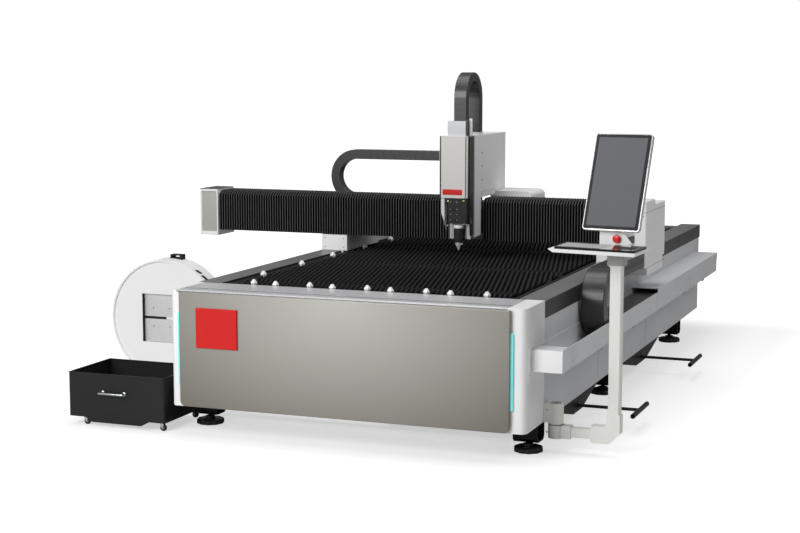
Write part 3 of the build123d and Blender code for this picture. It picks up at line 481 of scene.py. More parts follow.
def repeat_tree(name):
    """Node tree that copies one item to every point of a mesh, turned by the point's own turn."""
    tree = bpy.data.node_groups.new(name, "GeometryNodeTree")
    face = tree.interface
    for label, kind in (("Geometry", "Geometry"), ("Item", "Object"), ("Size", "Float"), ("Finish", "Material")):
        face.new_socket(label, in_out="INPUT", socket_type="NodeSocket" + kind)
    face.new_socket("Geometry", in_out="OUTPUT", socket_type="NodeSocketGeometry")
    wanted = node_in(tree, "NodeGroupInput", 0, 0).outputs
    item = node_in(tree, "GeometryNodeObjectInfo", 180, 0, Object=wanted["Item"])
    turn = node_in(tree, "GeometryNodeInputNamedAttribute", 180, -200)
    turn.data_type = "FLOAT_VECTOR"
    set_inputs(tree, turn, Name="turn")
    copies = node_in(tree, "GeometryNodeInstanceOnPoints", 360, 0, Points=wanted["Geometry"],
                     Instance=item.outputs["Geometry"], Rotation=turn.outputs["Attribute"], Scale=wanted["Size"])
    real = node_in(tree, "GeometryNodeRealizeInstances", 540, 0, Geometry=copies.outputs["Instances"])
    painted = node_in(tree, "GeometryNodeSetMaterial", 720, 0, Geometry=real.outputs["Geometry"],
                      Material=wanted["Finish"])
    node_in(tree, "NodeGroupOutput", 900, 0, Geometry=painted.outputs["Geometry"])
    return tree


def repeat(name, item, places, look, body, turns=None, replaces=()):
    """Copies an item shape to places in bed millimetres and makes one plain mesh of it."""
    tree = bpy.data.node_groups.get("Copies on points") or repeat_tree("Copies on points")
    source = new_object(name + "_item", item.mesh(name + "_item", [look], local=True))
    points = bpy.data.meshes.new(name)
    points.from_pydata([at(*p) for p in places], [], [])
    turn = points.attributes.new("turn", "FLOAT_VECTOR", "POINT")
    for i in range(len(places)):
        turn.data[i].vector = turns[i] if turns else (0, 0, 0)
    thing = new_object(name, points)
    modifier = thing.modifiers.new("copies", "NODES")
    modifier.node_group = tree
    sockets = {s.name: s.identifier for s in tree.interface.items_tree if s.in_out == "INPUT"}
    for label, value in (("Item", source), ("Size", 1.0), ("Finish", finishes[look])):
        modifier[sockets[label]] = value
    bpy.context.view_layer.update()
    made = bpy.data.meshes.new_from_object(thing.evaluated_get(bpy.context.evaluated_depsgraph_get()))
    thing.modifiers.clear()
    thing.data = made
    made.set_sharp_from_angle(angle=SHARP_ANGLE)
    bpy.data.objects.remove(source)
    return settle(thing, body, replaces)


def dress(node, look):
    """Gives a CAD node its finish."""
    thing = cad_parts[node]
    thing.data.materials.clear()
    thing.data.materials.append(finishes[look])


def screw_item(radius=5.0, height=3.2):
    """Button-head screw with a hexagon socket, standing along z."""
    item = Shape()
    profile = [(0, 0.8), (radius * 0.42, 0.8), (radius * 0.45, height), (radius * 0.7, height),
               (radius * 0.94, height * 0.6), (radius, 0), (0, 0)]
    item.lathe((0, 0, 0), (0, 0, 1), profile, 0, 18)
    return item


FACE_TURNS = {
    "front": (math.pi / 2, 0, 0),
    "back": (-math.pi / 2, 0, 0),
    "right": (0, math.pi / 2, 0),
    "left": (0, -math.pi / 2, 0),
    "up": (0, 0, 0),
}


def screws(name, body, places, facing, radius=5.0, look="zinc"):
    """A group of screws on one face direction."""
    turns = [FACE_TURNS[facing]] * len(places)
    return repeat(name, screw_item(radius), places, look, body, turns)


# Settings that a user would change

def colour_setting(name, description, *default):
    """A colour that a user can change."""
    return FloatVectorProperty(name=name, description=description, subtype="COLOR", size=3, min=0, max=1,
                               default=default)


def length_setting(name, description, default, low, high):
    """A length that a user can change."""
    return FloatProperty(name=name, description=description, default=default, min=low, max=high, unit="LENGTH")


class CutterColours(PropertyGroup):
    """Colours of the machine's main finishes."""

    white: colour_setting("White enamel", "Front housing and gantry", 0.945, 0.945, 0.945)
    wall: colour_setting("Side enamel", "Side walls and trough", 0.82, 0.825, 0.835)
    head: colour_setting("Head enamel", "Rounded cover of the cutting head", 0.84, 0.83, 0.815)
    # These two panel colours are painted light: a painted sheen at the top middle and painted shade at the lower
    # corners.
    panel_highlight_painted: colour_setting("Panel at its palest", "Front panel at the top middle", 0.74, 0.735, 0.71)
    panel_shade_painted: colour_setting("Panel at its dullest", "Front panel at the lower corners", 0.48, 0.465, 0.43)
    cover: colour_setting("Rail cover top", "Grey top of the rail covers", 0.43, 0.43, 0.43)
    band: colour_setting("Rail cover side", "Dark side of the rail covers", 0.18, 0.18, 0.18)
    chain: colour_setting("Energy chain", "Plastic of the energy chains", 0.21, 0.21, 0.21)
    console: colour_setting("Console enamel", "Console arm, tray and neck", 0.92, 0.92, 0.90)
    light: colour_setting("Light strips", "Cyan strips beside the panel", 0.46, 0.88, 0.87)
    plate: colour_setting("Front plate", "Bare plate on the front panel", 0.82, 0.10, 0.10)


class CutterSizes(PropertyGroup):
    """Sizes of the fine pieces."""

    tooth_pitch: length_setting("Tooth pitch", "Distance between slat teeth", 0.0328, 0.01, 0.2)
    tooth_depth: length_setting("Tooth depth", "Height of the slat teeth", 0.036, 0.005, 0.08)
    slat_pitch: length_setting("Slat pitch", "Distance between slats", 0.066, 0.02, 0.3)
    slat_sheet: length_setting("Slat sheet", "Thickness of a slat", 0.005, 0.001, 0.02)
    pleat_pitch: length_setting("Pleat pitch", "Distance between bellows folds", 0.020, 0.005, 0.1)
    link_pitch: length_setting("Link pitch", "Distance between energy chain links", 0.060, 0.02, 0.2)
    screw_radius: length_setting("Screw radius", "Radius of the panel screws", 0.005, 0.001, 0.02)
    key_rows: IntProperty(name="Key rows", description="Rows of keys on the keyboard", default=5, min=1, max=8)


# Operators, one for each group of pieces

class StageCutter(Operator):
    """Pale floor, backdrop, soft lights and the camera"""

    bl_idname = "cutter.stage"
    bl_label = "Stage"
    near_glow = 0.55
    unseen_glow = 0.2
    seen_glow = 1.0
    sensor = 36.0
    focal_share = 1596.0 / 800.0

    def execute(self, context):
        scene = context.scene
        scene.view_settings.view_transform = "Standard"
        floor = bpy.data.meshes.new("floor")
        size = 40.0
        floor.from_pydata([(-size, -size, 0), (size, -size, 0), (size, size, 0), (-size, size, 0)], [], [(0, 1, 2, 3)])
        ground = new_object("floor", floor)
        floor.materials.append(self.floor_material())
        world = bpy.data.worlds.new("studio")
        scene.world = world
        world.use_nodes = True
        tree = world.node_tree
        tree.nodes.clear()
        glow = [node_in(tree, "ShaderNodeBackground", 0, 200 * i, Color=(1, 1, 1, 1), Strength=strength).outputs[0]
                for i, strength in enumerate((self.unseen_glow, self.seen_glow))]
        path = node_in(tree, "ShaderNodeLightPath", 0, 400)
        pick = node_in(tree, "ShaderNodeMixShader", 200, 0)
        for socket, value in zip(pick.inputs, [path.outputs["Is Camera Ray"]] + glow):
            tree.links.new(value, socket)
        node_in(tree, "ShaderNodeOutputWorld", 400, 0, Surface=pick.outputs[0])
        self.area("key_light", (-2.5, -9.5, 4.6), (0.0, -1.0, 0.7), 5.0, 590)
        self.area("top_light", (0.3, -0.5, 8.0), (0.2, 0.0, 0.5), 6.0, 300)
        self.area("side_light", (7.0, -0.5, 6.5), (1.0, 0.0, 1.0), 4.0, 140)
        lens = bpy.data.cameras.new("camera")
        lens.sensor_fit = "HORIZONTAL"
        lens.sensor_width = self.sensor
        lens.lens = self.sensor * self.focal_share
        lens.clip_end = 200.0
        camera = new_object("camera", lens)
        camera.location = at(4726.06, -8393.12, 2217.9)
        camera.rotation_euler = (math.radians(90 - 7.14268), 0.0, math.radians(21.0959))
        scene.camera = camera
        return {"FINISHED"}

    def floor_material(self):
        """Pale floor that looks white to the camera and keeps the shadow."""
        material, tree, shader = new_material("pale_floor")
        low, high = cad_box
        middle, half = (low + high) / 2, (high - low) / 2
        away = vector_step(tree, "ABSOLUTE", object_place(tree, (1, 1, 0), (-middle.x, -middle.y, 0)))
        beyond = vector_step(tree, "SUBTRACT", away, (half.x, half.y, 0))
        length = vector_step(tree, "LENGTH", vector_step(tree, "MAXIMUM", beyond, (0, 0, 0)), output="Value")
        strength = node_in(tree, "ShaderNodeMath", -200, 0)
        strength.operation = "MULTIPLY"
        path = node_in(tree, "ShaderNodeLightPath", -400, 0)
        tree.links.new(path.outputs["Is Camera Ray"], strength.inputs[0])
        tree.links.new(stretch_range(tree, length, 0.1, 1.3, self.near_glow, 1.0), strength.inputs[1])
        set_inputs(tree, shader, Base_Color=(0.6, 0.6, 0.6, 1), Roughness=0.7, Emission_Color=(1, 1, 1, 1),
                   Emission_Strength=strength.outputs[0])
        return material

    def area(self, name, place, target, size, power):
        """A square soft light that looks at a target."""
        lamp = bpy.data.lights.new(name, "AREA")
        lamp.shape = "SQUARE"
        lamp.size = size
        lamp.energy = power
        thing = new_object(name, lamp)
        thing.location = place
        thing.rotation_euler = (Vector(target) - Vector(place)).to_track_quat("-Z", "Y").to_euler()


class FinishNodes(Operator):
    """Procedural finishes for every CAD node"""

    bl_idname = "cutter.finishes"
    bl_label = "Finishes"

    def execute(self, context):
        make_finishes(context.scene.cutter_colours)
        looks = {
            "white": ("front_shell", "header_end_caps", "gantry_feet", "gantry_end_cap", "gantry_block",
                      "rear_housing", "carriage_housing", "cabinet_drum", "console_tray", "console_neck"),
            "head": ("head_cover",),
            "wall": ("bed_walls", "chain_trough", "trough_covers", "chain_brackets", "motor_box"),
            "taupe": ("front_panel",),
            "cover": ("rail_covers",),
            "frame": ("bed_frame",),
            "beam": ("gantry_beam", "x_chain_tray"),
            "black": ("cart_tub", "cabinet_brackets", "cutting_head"),
            "deep": ("leg_brackets", "drawer_front", "drawer_rear", "drawer_runners"),
            "beige": ("console_bracket", "console_arm", "console_column"),
            "red": ("bare_plate",),
            "steel": ("carriage_saddle", "head_back_plate", "nozzle"),
            "soft_black": ("levelling_feet",),
            "rail": ("y_rails", "y_runners", "slat_combs"),
            "trim": ("header_trim",),
            "plate": ("cabinet_plates",),
            "slat": ("slats",),
            "ball": ("ball_rollers",),
            "chain": ("y_energy_chain", "x_energy_chain", "z_energy_chain"),
            "bellows": ("bellows_left", "bellows_right"),
            "light": ("light_strips",),
            "key_glass": ("keyboard",),
            "bezel": ("monitor",),
            "button": ("emergency_button",),
            "rubber": tuple("caster_wheel_" + n for n in CASTERS),
        }
        for look, nodes in looks.items():
            for node in nodes:
                dress(node, look)
        for n in CASTERS:
            dress("caster_fork_" + n, "chrome")
        return {"FINISHED"}


CASTERS = ("left_front", "left_rear", "right_front", "right_rear")


class MakeSlats(Operator):
    """Toothed slats with every second row shifted by half a tooth, and the comb teeth beside them"""

    bl_idname = "cutter.slats"
    bl_label = "Slats"

    def execute(self, context):
        sizes = context.scene.cutter_sizes
        pitch = sizes.tooth_pitch * 1000
        depth = sizes.tooth_depth * 1000
        sheet = sizes.slat_sheet * 1000
        low, high = bed_box("slats")
        teeth = int((high.x - low.x - pitch / 2) / pitch)
        root = high.z - low.z - depth
        item = Shape()
        item.block(0, teeth * pitch, -sheet / 2, sheet / 2, 0, root + 2)
        for i in range(teeth):
            x = i * pitch
            rings = []
            for rise, left, right, swell in ((0, 0.0, 0.84, 1.0), (0.55, 0.28, 0.98, 0.9), (0.86, 0.56, 1.04, 0.6),
                                             (1.0, 0.78, 1.0, 0.3)):
                a, b = x + left * pitch, x + right * pitch
                z, middle = root + depth * rise, (a + b) / 2
                rings.append([(a, 0, z), (middle, -10 * swell, z), (b, 0, z), (middle, sheet / 2, z)])
            item.loft(rings)
        row_pitch = sizes.slat_pitch * 1000
        count = round((high.y - low.y) / row_pitch) + 1
        places = []
        for i in range(count):
            phase = (i + (i + 13) // 16) % 2
            places.append((low.x + phase * pitch / 2, low.y + 3 + i * row_pitch, low.z))
        repeat("slat_field", item, places, "slat", "machine", replaces=("slats",))
        tooth = Shape()
        tooth.block(-13, 13, -4, 4, 0, 12, bevel=1.5)
        comb_low, comb_high = bed_box("slat_combs")
        rows = int((high.y - low.y) / pitch)
        spots = [(x, low.y + i * pitch, comb_high.z) for x in (comb_high.x - 15, comb_low.x + 15)
                 for i in range(rows)]
        repeat("comb_teeth", tooth, spots, "black", "machine")
        return {"FINISHED"}


class MakeRollers(Operator):
    """Ball transfer rollers at the front and along the left edge"""

    bl_idname = "cutter.rollers"
    bl_label = "Ball rollers"

    def execute(self, context):
        top = bed_box("ball_rollers")[1].z
        front = [(358 + i * 189.5, 417, top) if i % 2 == 0 else (330 + i * 189.5, 389, top) for i in range(9)]
        side = [(231, y, top) for y in (813, 1407, 1935, 2529, 3057)]
        head = Shape()
        head.lathe((0, 0, 0), (0, 0, 1), [(0, -44), (13, -44), (23, -25), (23, -21), (9, -3), (0, 0)], 0, 6)
        stem = Shape()
        stem.block(-9, 9, -9, 9, -125, -44, bevel=1)
        stem.lathe((0, 0, 0), (0, 0, 1), [(0, -60), (15, -60), (15, -43), (0, -43)], 0, 16)
        repeat("roller_heads", head, front + side, "ball", "machine", replaces=("ball_rollers",))
        repeat("roller_stems", stem, front + side, "shade", "machine")
        return {"FINISHED"}


def chain_pieces(name, node, place, low_run, high_run, radius, height, width, pitch):
    """An energy chain in three pieces: fixed run, bend and moving run."""
    mid = radius - height / 2
    arc = math.pi * mid

    def spot(t, offset, across):
        """Point at length t along the chain, offset from its middle, across its width."""
        if t <= low_run:
            u, v, nu, nv = low_run - t, -mid, 0.0, -1.0
        elif t >= low_run + arc:
            u, v, nu, nv = t - low_run - arc, mid, 0.0, 1.0
        else:
            a = math.pi * (t - low_run) / arc
            u, v, nu, nv = -mid * math.sin(a), -mid * math.cos(a), -math.sin(a), -math.cos(a)
        return place(u + nu * offset, v + nv * offset, across)

    def run(label, start, end):
        """Links between two lengths, with a dark core between them."""
        shape = Shape()
        count = max(round((end - start) / pitch), 1)
        step = (end - start) / count
        half = height / 2
        gap = 1.0
        for i in range(count):
            a = start + i * step + gap / 2
            b = start + (i + 1) * step - gap / 2
            slices = 6 if label == "bend" else 1
            lengths = [a + (b - a) * k / slices for k in range(slices + 1)]
            shape.loft([[spot(t, h, w) for w, h in chain_section(-width / 2, width / 2, -half, half)]
                        for t in lengths], 0)
            for w in (-width / 2 - 1.2, width / 2 + 1.2):
                t = (a + b) / 2
                shape.bar(spot(t, 0, w - math.copysign(4, w)), spot(t, 0, w), height * 0.16, 0, 14)
        core_slices = count * (3 if label == "bend" else 1)
        lengths = [start + (end - start) * k / core_slices for k in range(core_slices + 1)]
        shape.loft([[spot(t, h, w) for w, h in chain_section(-width / 2 + 2, width / 2 - 2, -half + 2, half - 2)]
                    for t in lengths], 1)
        thing = new_object(f"{name}_{label}", shape.mesh(f"{name}_{label}", ["chain", "gap"]))
        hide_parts(node)
        return thing

    lower = run("fixed_run", 0, low_run)
    bend = run("bend", low_run, low_run + arc)
    upper = run("moving_run", low_run + arc, low_run + arc + high_run)
    origin = Vector(at(*place(0, 0, 0)))
    forward = Vector(at(*place(1000, 0, 0))) - origin
    side = Vector(at(*place(0, 0, 1000))) - origin
    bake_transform(lower)
    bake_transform(bend)
    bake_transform(upper)


def chain_section(w0, w1, h0, h1):
    """Rounded section of a link."""
    c = min(abs(w1 - w0), abs(h1 - h0)) * 0.05
    return ((w0 + c, h0), (w1 - c, h0), (w1, h0 + c), (w1, h1 - c), (w1 - c, h1), (w0 + c, h1), (w0, h1 - c),
            (w0, h0 + c))


class MakeChains(Operator):
    """The three energy chains, link by link"""

    bl_idname = "cutter.chains"
    bl_label = "Energy chains"

    def execute(self, context):
        pitch = context.scene.cutter_sizes.link_pitch * 1000
        chain_pieces("y_chain", "y_energy_chain",
                     lambda u, v, w: (2330.5 + w, 1317 + u, 754 + v), low_run=1433, high_run=918,
                     radius=214, height=100, width=145, pitch=pitch)
        chain_pieces("x_chain", "x_energy_chain",
                     lambda u, v, w: (131 + u, 2640 + w, 1404 + v), low_run=969, high_run=662, radius=200,
                     height=70, width=80, pitch=pitch)
        chain_pieces("z_chain", "z_energy_chain",
                     lambda u, v, w: (1155 + w, 2188 + v, 2000 - u), low_run=163, high_run=240, radius=178,
                     height=60, width=90, pitch=pitch * 0.75)
        return {"FINISHED"}


def bellows_pieces(name, node, x0, x1, pitch, sections):
    """A pleated cover in even sections."""
    count = round((x1 - x0) / pitch)
    step = (x1 - x0) / count
    front, back, low = 2250.0, 2490.0, 1003.0
    fold, chamfer, front_z, top_z = 13.0, 40.0, 1273.0, 1300.0
    rise = top_z - front_z
    slope = math.hypot(rise, chamfer)

    def section(x, d):
        """Outline of the cover at x, sunk by d."""
        return [(x, front + d, low), (x, front + d, front_z + d * (rise - slope) / chamfer),
                (x, front + chamfer + d * (slope - chamfer) / rise, top_z - d), (x, back, top_z - d)]

    for s in range(sections):
        first = count * s // sections
        last = count * (s + 1) // sections
        points, faces, ridge_highlight_marks = [], [], []
        for i in range(first, last + 1):
            # Ridge rows get a mark of 1.0, which sets the painted highlight of the cloth.
            rows = ((0.0, fold, 0.0),) if i == last else ((0.0, fold, 0.0), (0.42, 0.0, 1.0), (0.58, 0.0, 1.0))
            for share, d, mark in rows:
                x = x0 + (i + share) * step
                points += section(x, d) + section(x, fold + 4)
                ridge_highlight_marks += [mark] * 4 + [0.0] * 4
        rows = len(points) // 8
        for r in range(rows - 1):
            a, b = r * 8, (r + 1) * 8
            for k in range(3):
                faces.append((a + k, a + k + 1, b + k + 1, b + k))
                faces.append((b + 4 + k, b + 5 + k, a + 5 + k, a + 4 + k))
            faces.append((a + 4, a, b, b + 4))
            faces.append((a + 3, a + 7, b + 7, b + 3))
        end = (rows - 1) * 8
        for k in range(3):
            faces.append((4 + k, 5 + k, 1 + k, k))
            faces.append((end + k, end + 1 + k, end + 5 + k, end + 4 + k))
        mesh = bpy.data.meshes.new(f"{name}_{s + 1}")
        mesh.from_pydata([at(*p) for p in points], [], faces)
        marks = mesh.attributes.new("fold", "FLOAT", "POINT")
        marks.data.foreach_set("value", ridge_highlight_marks)
        mesh.materials.append(finishes["bellows"])
        mesh.update()
        solid = bmesh.new()
        solid.from_mesh(mesh)
        bmesh.ops.recalc_face_normals(solid, faces=solid.faces[:])
        solid.to_mesh(mesh)
        solid.free()
        thing = new_object(mesh.name, mesh)
        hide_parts(node)
        a, b = x0 + first * step, x0 + last * step
        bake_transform(thing)


class MakeBellows(Operator):
    """Pleated covers left and right of the carriage"""

    bl_idname = "cutter.bellows"
    bl_label = "Bellows"

    def execute(self, context):
        pitch = context.scene.cutter_sizes.pleat_pitch * 1000
        bellows_pieces("bellows_left_part", "bellows_left", -838, 1060, pitch, 6)
        bellows_pieces("bellows_right_part", "bellows_right", 1240, 2240, pitch, 6)
        return {"FINISHED"}


class MakeGantryTrim(Operator):
    """End cap panel and rim, seams of the drive block, carriage strip and screws"""

    bl_idname = "cutter.gantry_trim"
    bl_label = "Gantry trim"

    def execute(self, context):
        radius = context.scene.cutter_sizes.screw_radius * 1000
        left, right = -985, -838
        face = 2240
        cap = Shape()
        cap.block(left + 14, right - 10, face - 1.2, face + 2, 992, 1290, 0, 0.5)
        for x0, x1, z0, z1 in ((left, left + 12, 962, 1306), (right - 8, right, 962, 1306),
                               (left + 12, right - 8, 1292, 1306), (left + 12, right - 8, 962, 990)):
            cap.block(x0, x1, face - 5, face + 2, z0, z1, 1, 1.0)
        cap.block(left, right, face - 4, 2500, 1306, 1310.6, 2, 0.8)
        cap.piece("end_cap_panel", "gantry", ["cap", "white", "mid"])
        seams = Shape()
        for z in (853, 1235):
            seams.block(2245.4, 2410.6, 2234.4, 2860.6, z - 1.1, z + 1.1)
        seams.piece("gantry_block_seams", "gantry", ["seam"])
        block_screws = [(x, 2235, z) for x in (2262, 2394) for z in (815, 880, 1210, 1296)]
        screws("gantry_block_screws", "gantry", block_screws, "front", radius)
        foot_screws = [(x, 2250, z) for x in (32, 178) for z in (912, 975)]
        screws("gantry_foot_screws", "gantry", foot_screws, "front", radius)
        strip = Shape()
        strip.block(1236, 1238.6, 2086.5, 2099, 1036, 1743, 0, 0.5)
        strip.block(1062, 1238, 2085.6, 2087.4, 1043, 1744, 0, 0.5)
        for x0, x1 in ((1062, 1066), (1234, 1238)):
            strip.block(x0, x1, 2224, 2552, 1308, 1348)
            strip.block(x0, x1, 2550, 2790, 1334, 1348)
        strip.piece("carriage_front_edge", "carriage", ["white"])
        for label, x, facing in (("side", 1238, "right"), ("left", 1062, "left")):
            side_screws = [(x, 2243, 1621 - 94.7 * i) for i in range(4)]
            screws(f"carriage_{label}_screws", "carriage", side_screws, facing, radius, "mid")
        seat = Shape()
        seat.block(1199, 1201.4, 2562, 2898, 1204, 1290, 0, 0.6)
        seat.block(1210, 1500, 2558.8, 2560.6, 1206, 1209, 0, 0.4)
        seat.piece("rear_housing_edge", "gantry", ["white"])
        return {"FINISHED"}


class MakeHead(Operator):
    """Cover edges, bare plate, motor box, cutting head fittings, collar and nozzle"""

    bl_idname = "cutter.head"
    bl_label = "Cutting head"

    def execute(self, context):
        front = 1975
        cover = Shape()
        cover.block(1019.2, 1030, front - 0.8, 2034, 1319, 1743.4, 0, 0.6)
        cover.block(1205, 1210, front - 0.8, front + 8, 1319, 1743.4, 1, 0.5)
        cover.block(1209, 1217, 1982, 2004, 1319, 1743.4, 2, 0.8)
        cover.block(1207, 1218, 2004, 2036, 1319, 1743.4, 0, 0.4)
        cover.block(1020, 1215, front - 0.4, 2034, 1742.6, 1745, 2, 0.6)
        cover.piece("head_cover_edges", "head", ["shade", "mid", "white"])
        plate = Shape()
        plate.along("y", corner_round(1042, 1184, 1340, 1378, 3), front - 1.6, front + 0.5, 0, 0.4)
        plate.piece("head_bare_plate", "head", ["red"])
        guard = Shape()
        guard.block(1226.6, 1231, 2008, 2084, 1060, 1742, 0, 1.0)
        guard.block(1218, 1227, 2020, 2036, 1319, 1742, 0, 1.0)
        guard.block(1203, 1213, 2000, 2050, 1745, 1856, 0, 1.5)
        guard.piece("head_side_guard", "head", ["shade"])
        motor = Shape()
        motor.block(1073.6, 1202.6, 1984.4, 2040, 1744, 1846, 0, 1.0)
        motor.block(1212, 1230, 2036, 2056, 1744, 1862, 1, 1.5)
        motor.piece("motor_front_cover", "head", ["wall", "white"])
        self.cutter()
        return {"FINISHED"}

    def cutter(self):
        """Block, brackets and fittings below the cover."""
        body = Shape()
        body.block(1075, 1169, 1980.5, 2034, 1142, 1317, 0, 3.0)
        body.block(1169, 1224, 1992, 2034, 1150, 1317, 0, 4.0)
        body.block(1084, 1160, 1977.6, 1982, 1226, 1306, 1, 1.0)
        body.block(1090, 1154, 1978.6, 1982, 1156, 1216, 1, 1.0)
        body.piece("cutter_body", "head", ["black", "bezel"])
        bracket = Shape()
        outline = ((1026, 60), (1048, 0), (1050, 0), (1050, None), (1026, None))
        bracket.loft([[(x, y, 1318 if rise is None else low + rise) for x, rise in outline]
                      for y, low in ((2036, 1090), (1990, 1155))])
        bracket.bar((1222, 2010, 1225), (1232, 2030, 1140), 4, 0, 16)
        bracket.bar((1204, 2008, 1244), (1226, 2020, 1212), 5, 0, 16)
        bracket.piece("cutter_bracket", "head", ["silver"])
        fittings = Shape()
        for x, z, r in ((1082, 1296, 7), (1196, 1300, 7), (1200, 1140, 6), (1082, 1128, 6)):
            fittings.bar((x, 1972, z), (x, 1994, z), r, 0, 6)
            fittings.bar((x, 1965, z), (x, 1973, z), r * 0.6, 1, 16)
        fittings.piece("cutter_fittings", "head", ["brass", "zinc"])
        bolts = [(x, 1978.2, z) for x in (1098, 1146) for z in (1290, 1240, 1204, 1168)]
        screws("cutter_bolts", "head", bolts, "front", 4.0)
        ring = [(0, 1108), (34, 1108), (36, 1111), (36, 1127), (34, 1130), (0, 1130)]
        tube = [(0, 1012), (30, 1012), (34, 1018), (34, 1048), (32.6, 1050), (32.6, 1054), (34, 1056), (34, 1108),
                (0, 1108)]
        cone = [(0, 955), (3.4, 955), (5.5, 958), (10, 970), (11, 976), (11, 982), (18, 984), (18, 990),
                (24, 993), (24, 1006), (20, 1009), (20, 1013), (0, 1013)]
        barrel = Shape()
        for kind, profile in enumerate((ring, tube, cone)):
            barrel.lathe((1150, 2005, 0), (0, 0, 1), profile, kind, 40)
        barrel.bar((1168, 2005, 1000), (1180, 2005, 1000), 5, 2, 14)
        barrel.piece("nozzle_stack", "head", ["ceramic", "bezel", "silver"], ("nozzle",))


class MakeConsole(Operator):
    """Monitor with its rim and glass, keys, tray edge, emergency button, collar and knuckle"""

    bl_idname = "cutter.console"
    bl_label = "Console"

    def execute(self, context):
        turn = Matrix.Translation((2651, 395, 0)) @ Matrix.Rotation(math.radians(-9), 4, "Z")
        self.monitor(turn)
        self.tray(turn, context.scene.cutter_sizes.key_rows)
        self.arm()
        return {"FINISHED"}

    def monitor(self, turn):
        """Rounded rim, dark bezel, grey glass, back cover and hinge."""
        lean = turn @ Matrix.Translation((0, -116, 1312)) @ Matrix.Rotation(math.radians(-20), 4, "X")
        body = Shape()
        body.along("y", corner_round(-170, 170, 0, 565, 15), 1.5, 30, 0, 1.5, lean)
        body.along("y", corner_round(-158, 158, 12, 553, 12), 30, 44.8, 1, 3.0, lean)
        body.along("y", corner_round(-164, 164, 6, 559, 11), -0.6, 2.2, 1, 0.4, lean)
        body.along("y", corner_round(-146, 146, 24, 541, 3), -2.4, 1.6, 2, 0.0, lean)
        for i in range(9):
            body.block(-70, 70, 44, 45, 150 + 22 * i, 158 + 22 * i, 3, 0.0, lean)
        body.block(-36, 36, -63, -36, 1318, 1334, 1, 2.0, turn)
        body.bar((-52, -34, 1326), (52, -34, 1326), 10.8, 0, 32, bevel=0.8, turn=turn)
        body.piece("monitor_shell", "screen", ["silver", "bezel", "screen", "gap"], ("monitor",))

    def tray(self, turn, rows):
        """Key caps, touch field, tray edge, button and neck seams."""
        tray_slope = 0.048

        def glass_top(v):
            return 1208 + (v + 275) * tray_slope + 14

        def sloped(x0, x1, y0, y1, front_z, back_z):
            return [(x0, y0, front_z), (x1, y0, front_z), (x1, y1, back_z), (x0, y1, back_z)]

        cap = Shape()
        cap.block(-8, 8, -11, 11, 0, 1.6, 0, 1.2)
        places, turns = [], []
        depth = 130 / rows
        for row in range(rows):
            v = -232 + depth * row
            for column in range(14):
                u = -250 + 19.2 * column + 4 * (row % 2)
                places.append(tuple(turn @ Vector((u, v, glass_top(v) - 0.2))))
                turns.append((math.atan(tray_slope), 0, math.radians(-9)))
        repeat("keys", cap, places, "key", "console_top", turns)
        edge = Shape()
        under, over = sloped(-280, 208, -270, -70, 1189, 1198), sloped(-305, 215, -275.4, -66, 1206.6, 1216.6)
        edge.loft([under, over], 0, 1.2, turn)
        edge.loft([sloped(-305, 215, -275.4, -66, z, z + 10) for z in (1206.4, 1208.6)], 0, 0.6, turn)
        edge.block(-83, 68, -235, 85, 1185, 1197.5, 0, 1.5, turn)
        edge.bar((0, 0, 1170.4), (0, 0, 1186), 36, 0, 40, bevel=1.0, turn=turn)
        edge.piece("tray_shell", "console_top", ["white"], ("console_tray",))
        pad = Shape()
        pad.loft([sloped(60, 180, -240, -140, glass_top(-240) + rise, glass_top(-140) + rise) for rise in (-0.3, 0.3)],
                 turn=turn)
        pad.piece("touch_field", "console_top", ["bezel"])
        button = Shape()
        cap_profile = [(0, 0), (20, 0), (23, 2.4), (23, 7), (20.5, 11), (13, 13.4), (0, 13.8)]
        button.lathe((24, -73.2, 1262), (0, -1, 0), cap_profile, 0, 40, turn)
        button.lathe((24, -73.6, 1262), (0, 1, 0), [(0, 0), (7.9, 0), (7.9, 27), (0, 27)], 1, 24, turn)
        button.piece("mushroom_button", "button", ["button", "bezel"], ("emergency_button",))
        neck = Shape()
        neck.lathe((24, -65, 1262), (0, -1, 0), [(24, -1), (28, -1), (28, 1.6), (26, 2.6), (24, 2.6), (24, -1)], 0, 40,
                   turn)
        neck.block(68.2, 69.6, -60, 82, 1226, 1268, 1, 0.6, turn)
        neck.block(-83.6, 68.6, -20, -18.6, 1200, 1299, 2, 0.0, turn)
        neck.piece("neck_trim", "console_top", ["beige", "mid", "seam"])

    def arm(self):
        """Collar, column seam, knuckle caps and bracket screws."""
        arm = Shape()
        collar = [(x + 2651, y + 395) for x, y in corner_round(-49.6, 49.6, -49.6, 49.6, 10, 3)]
        arm.along("z", collar, 1105.4, 1169.8, 0, 0.8)
        arm.block(2651 - 40, 2651 + 40, 395 - 40, 395 + 40, 1098, 1106, 1, 2.0)
        arm.piece("console_collar", "console_swing_arm", ["collar", "beige"])
        foot = Shape()
        foot.lathe((2305, 395, 0), (0, 0, 1), [(0, 286), (30, 286), (30, 289), (12, 289), (12, 286.5), (0, 286.5)], 0,
                   32)
        foot.lathe((2305, 395, 0), (0, 0, 1), [(38, 160.6), (45.4, 160.6), (45.4, 165), (38, 165), (38, 160.6)], 1, 48)
        foot.piece("knuckle_caps", "machine", ["zinc", "gap"])
        screws("console_bracket_screws", "machine", [(2262, 355, z) for z in (120, 250)], "front", 6.0)


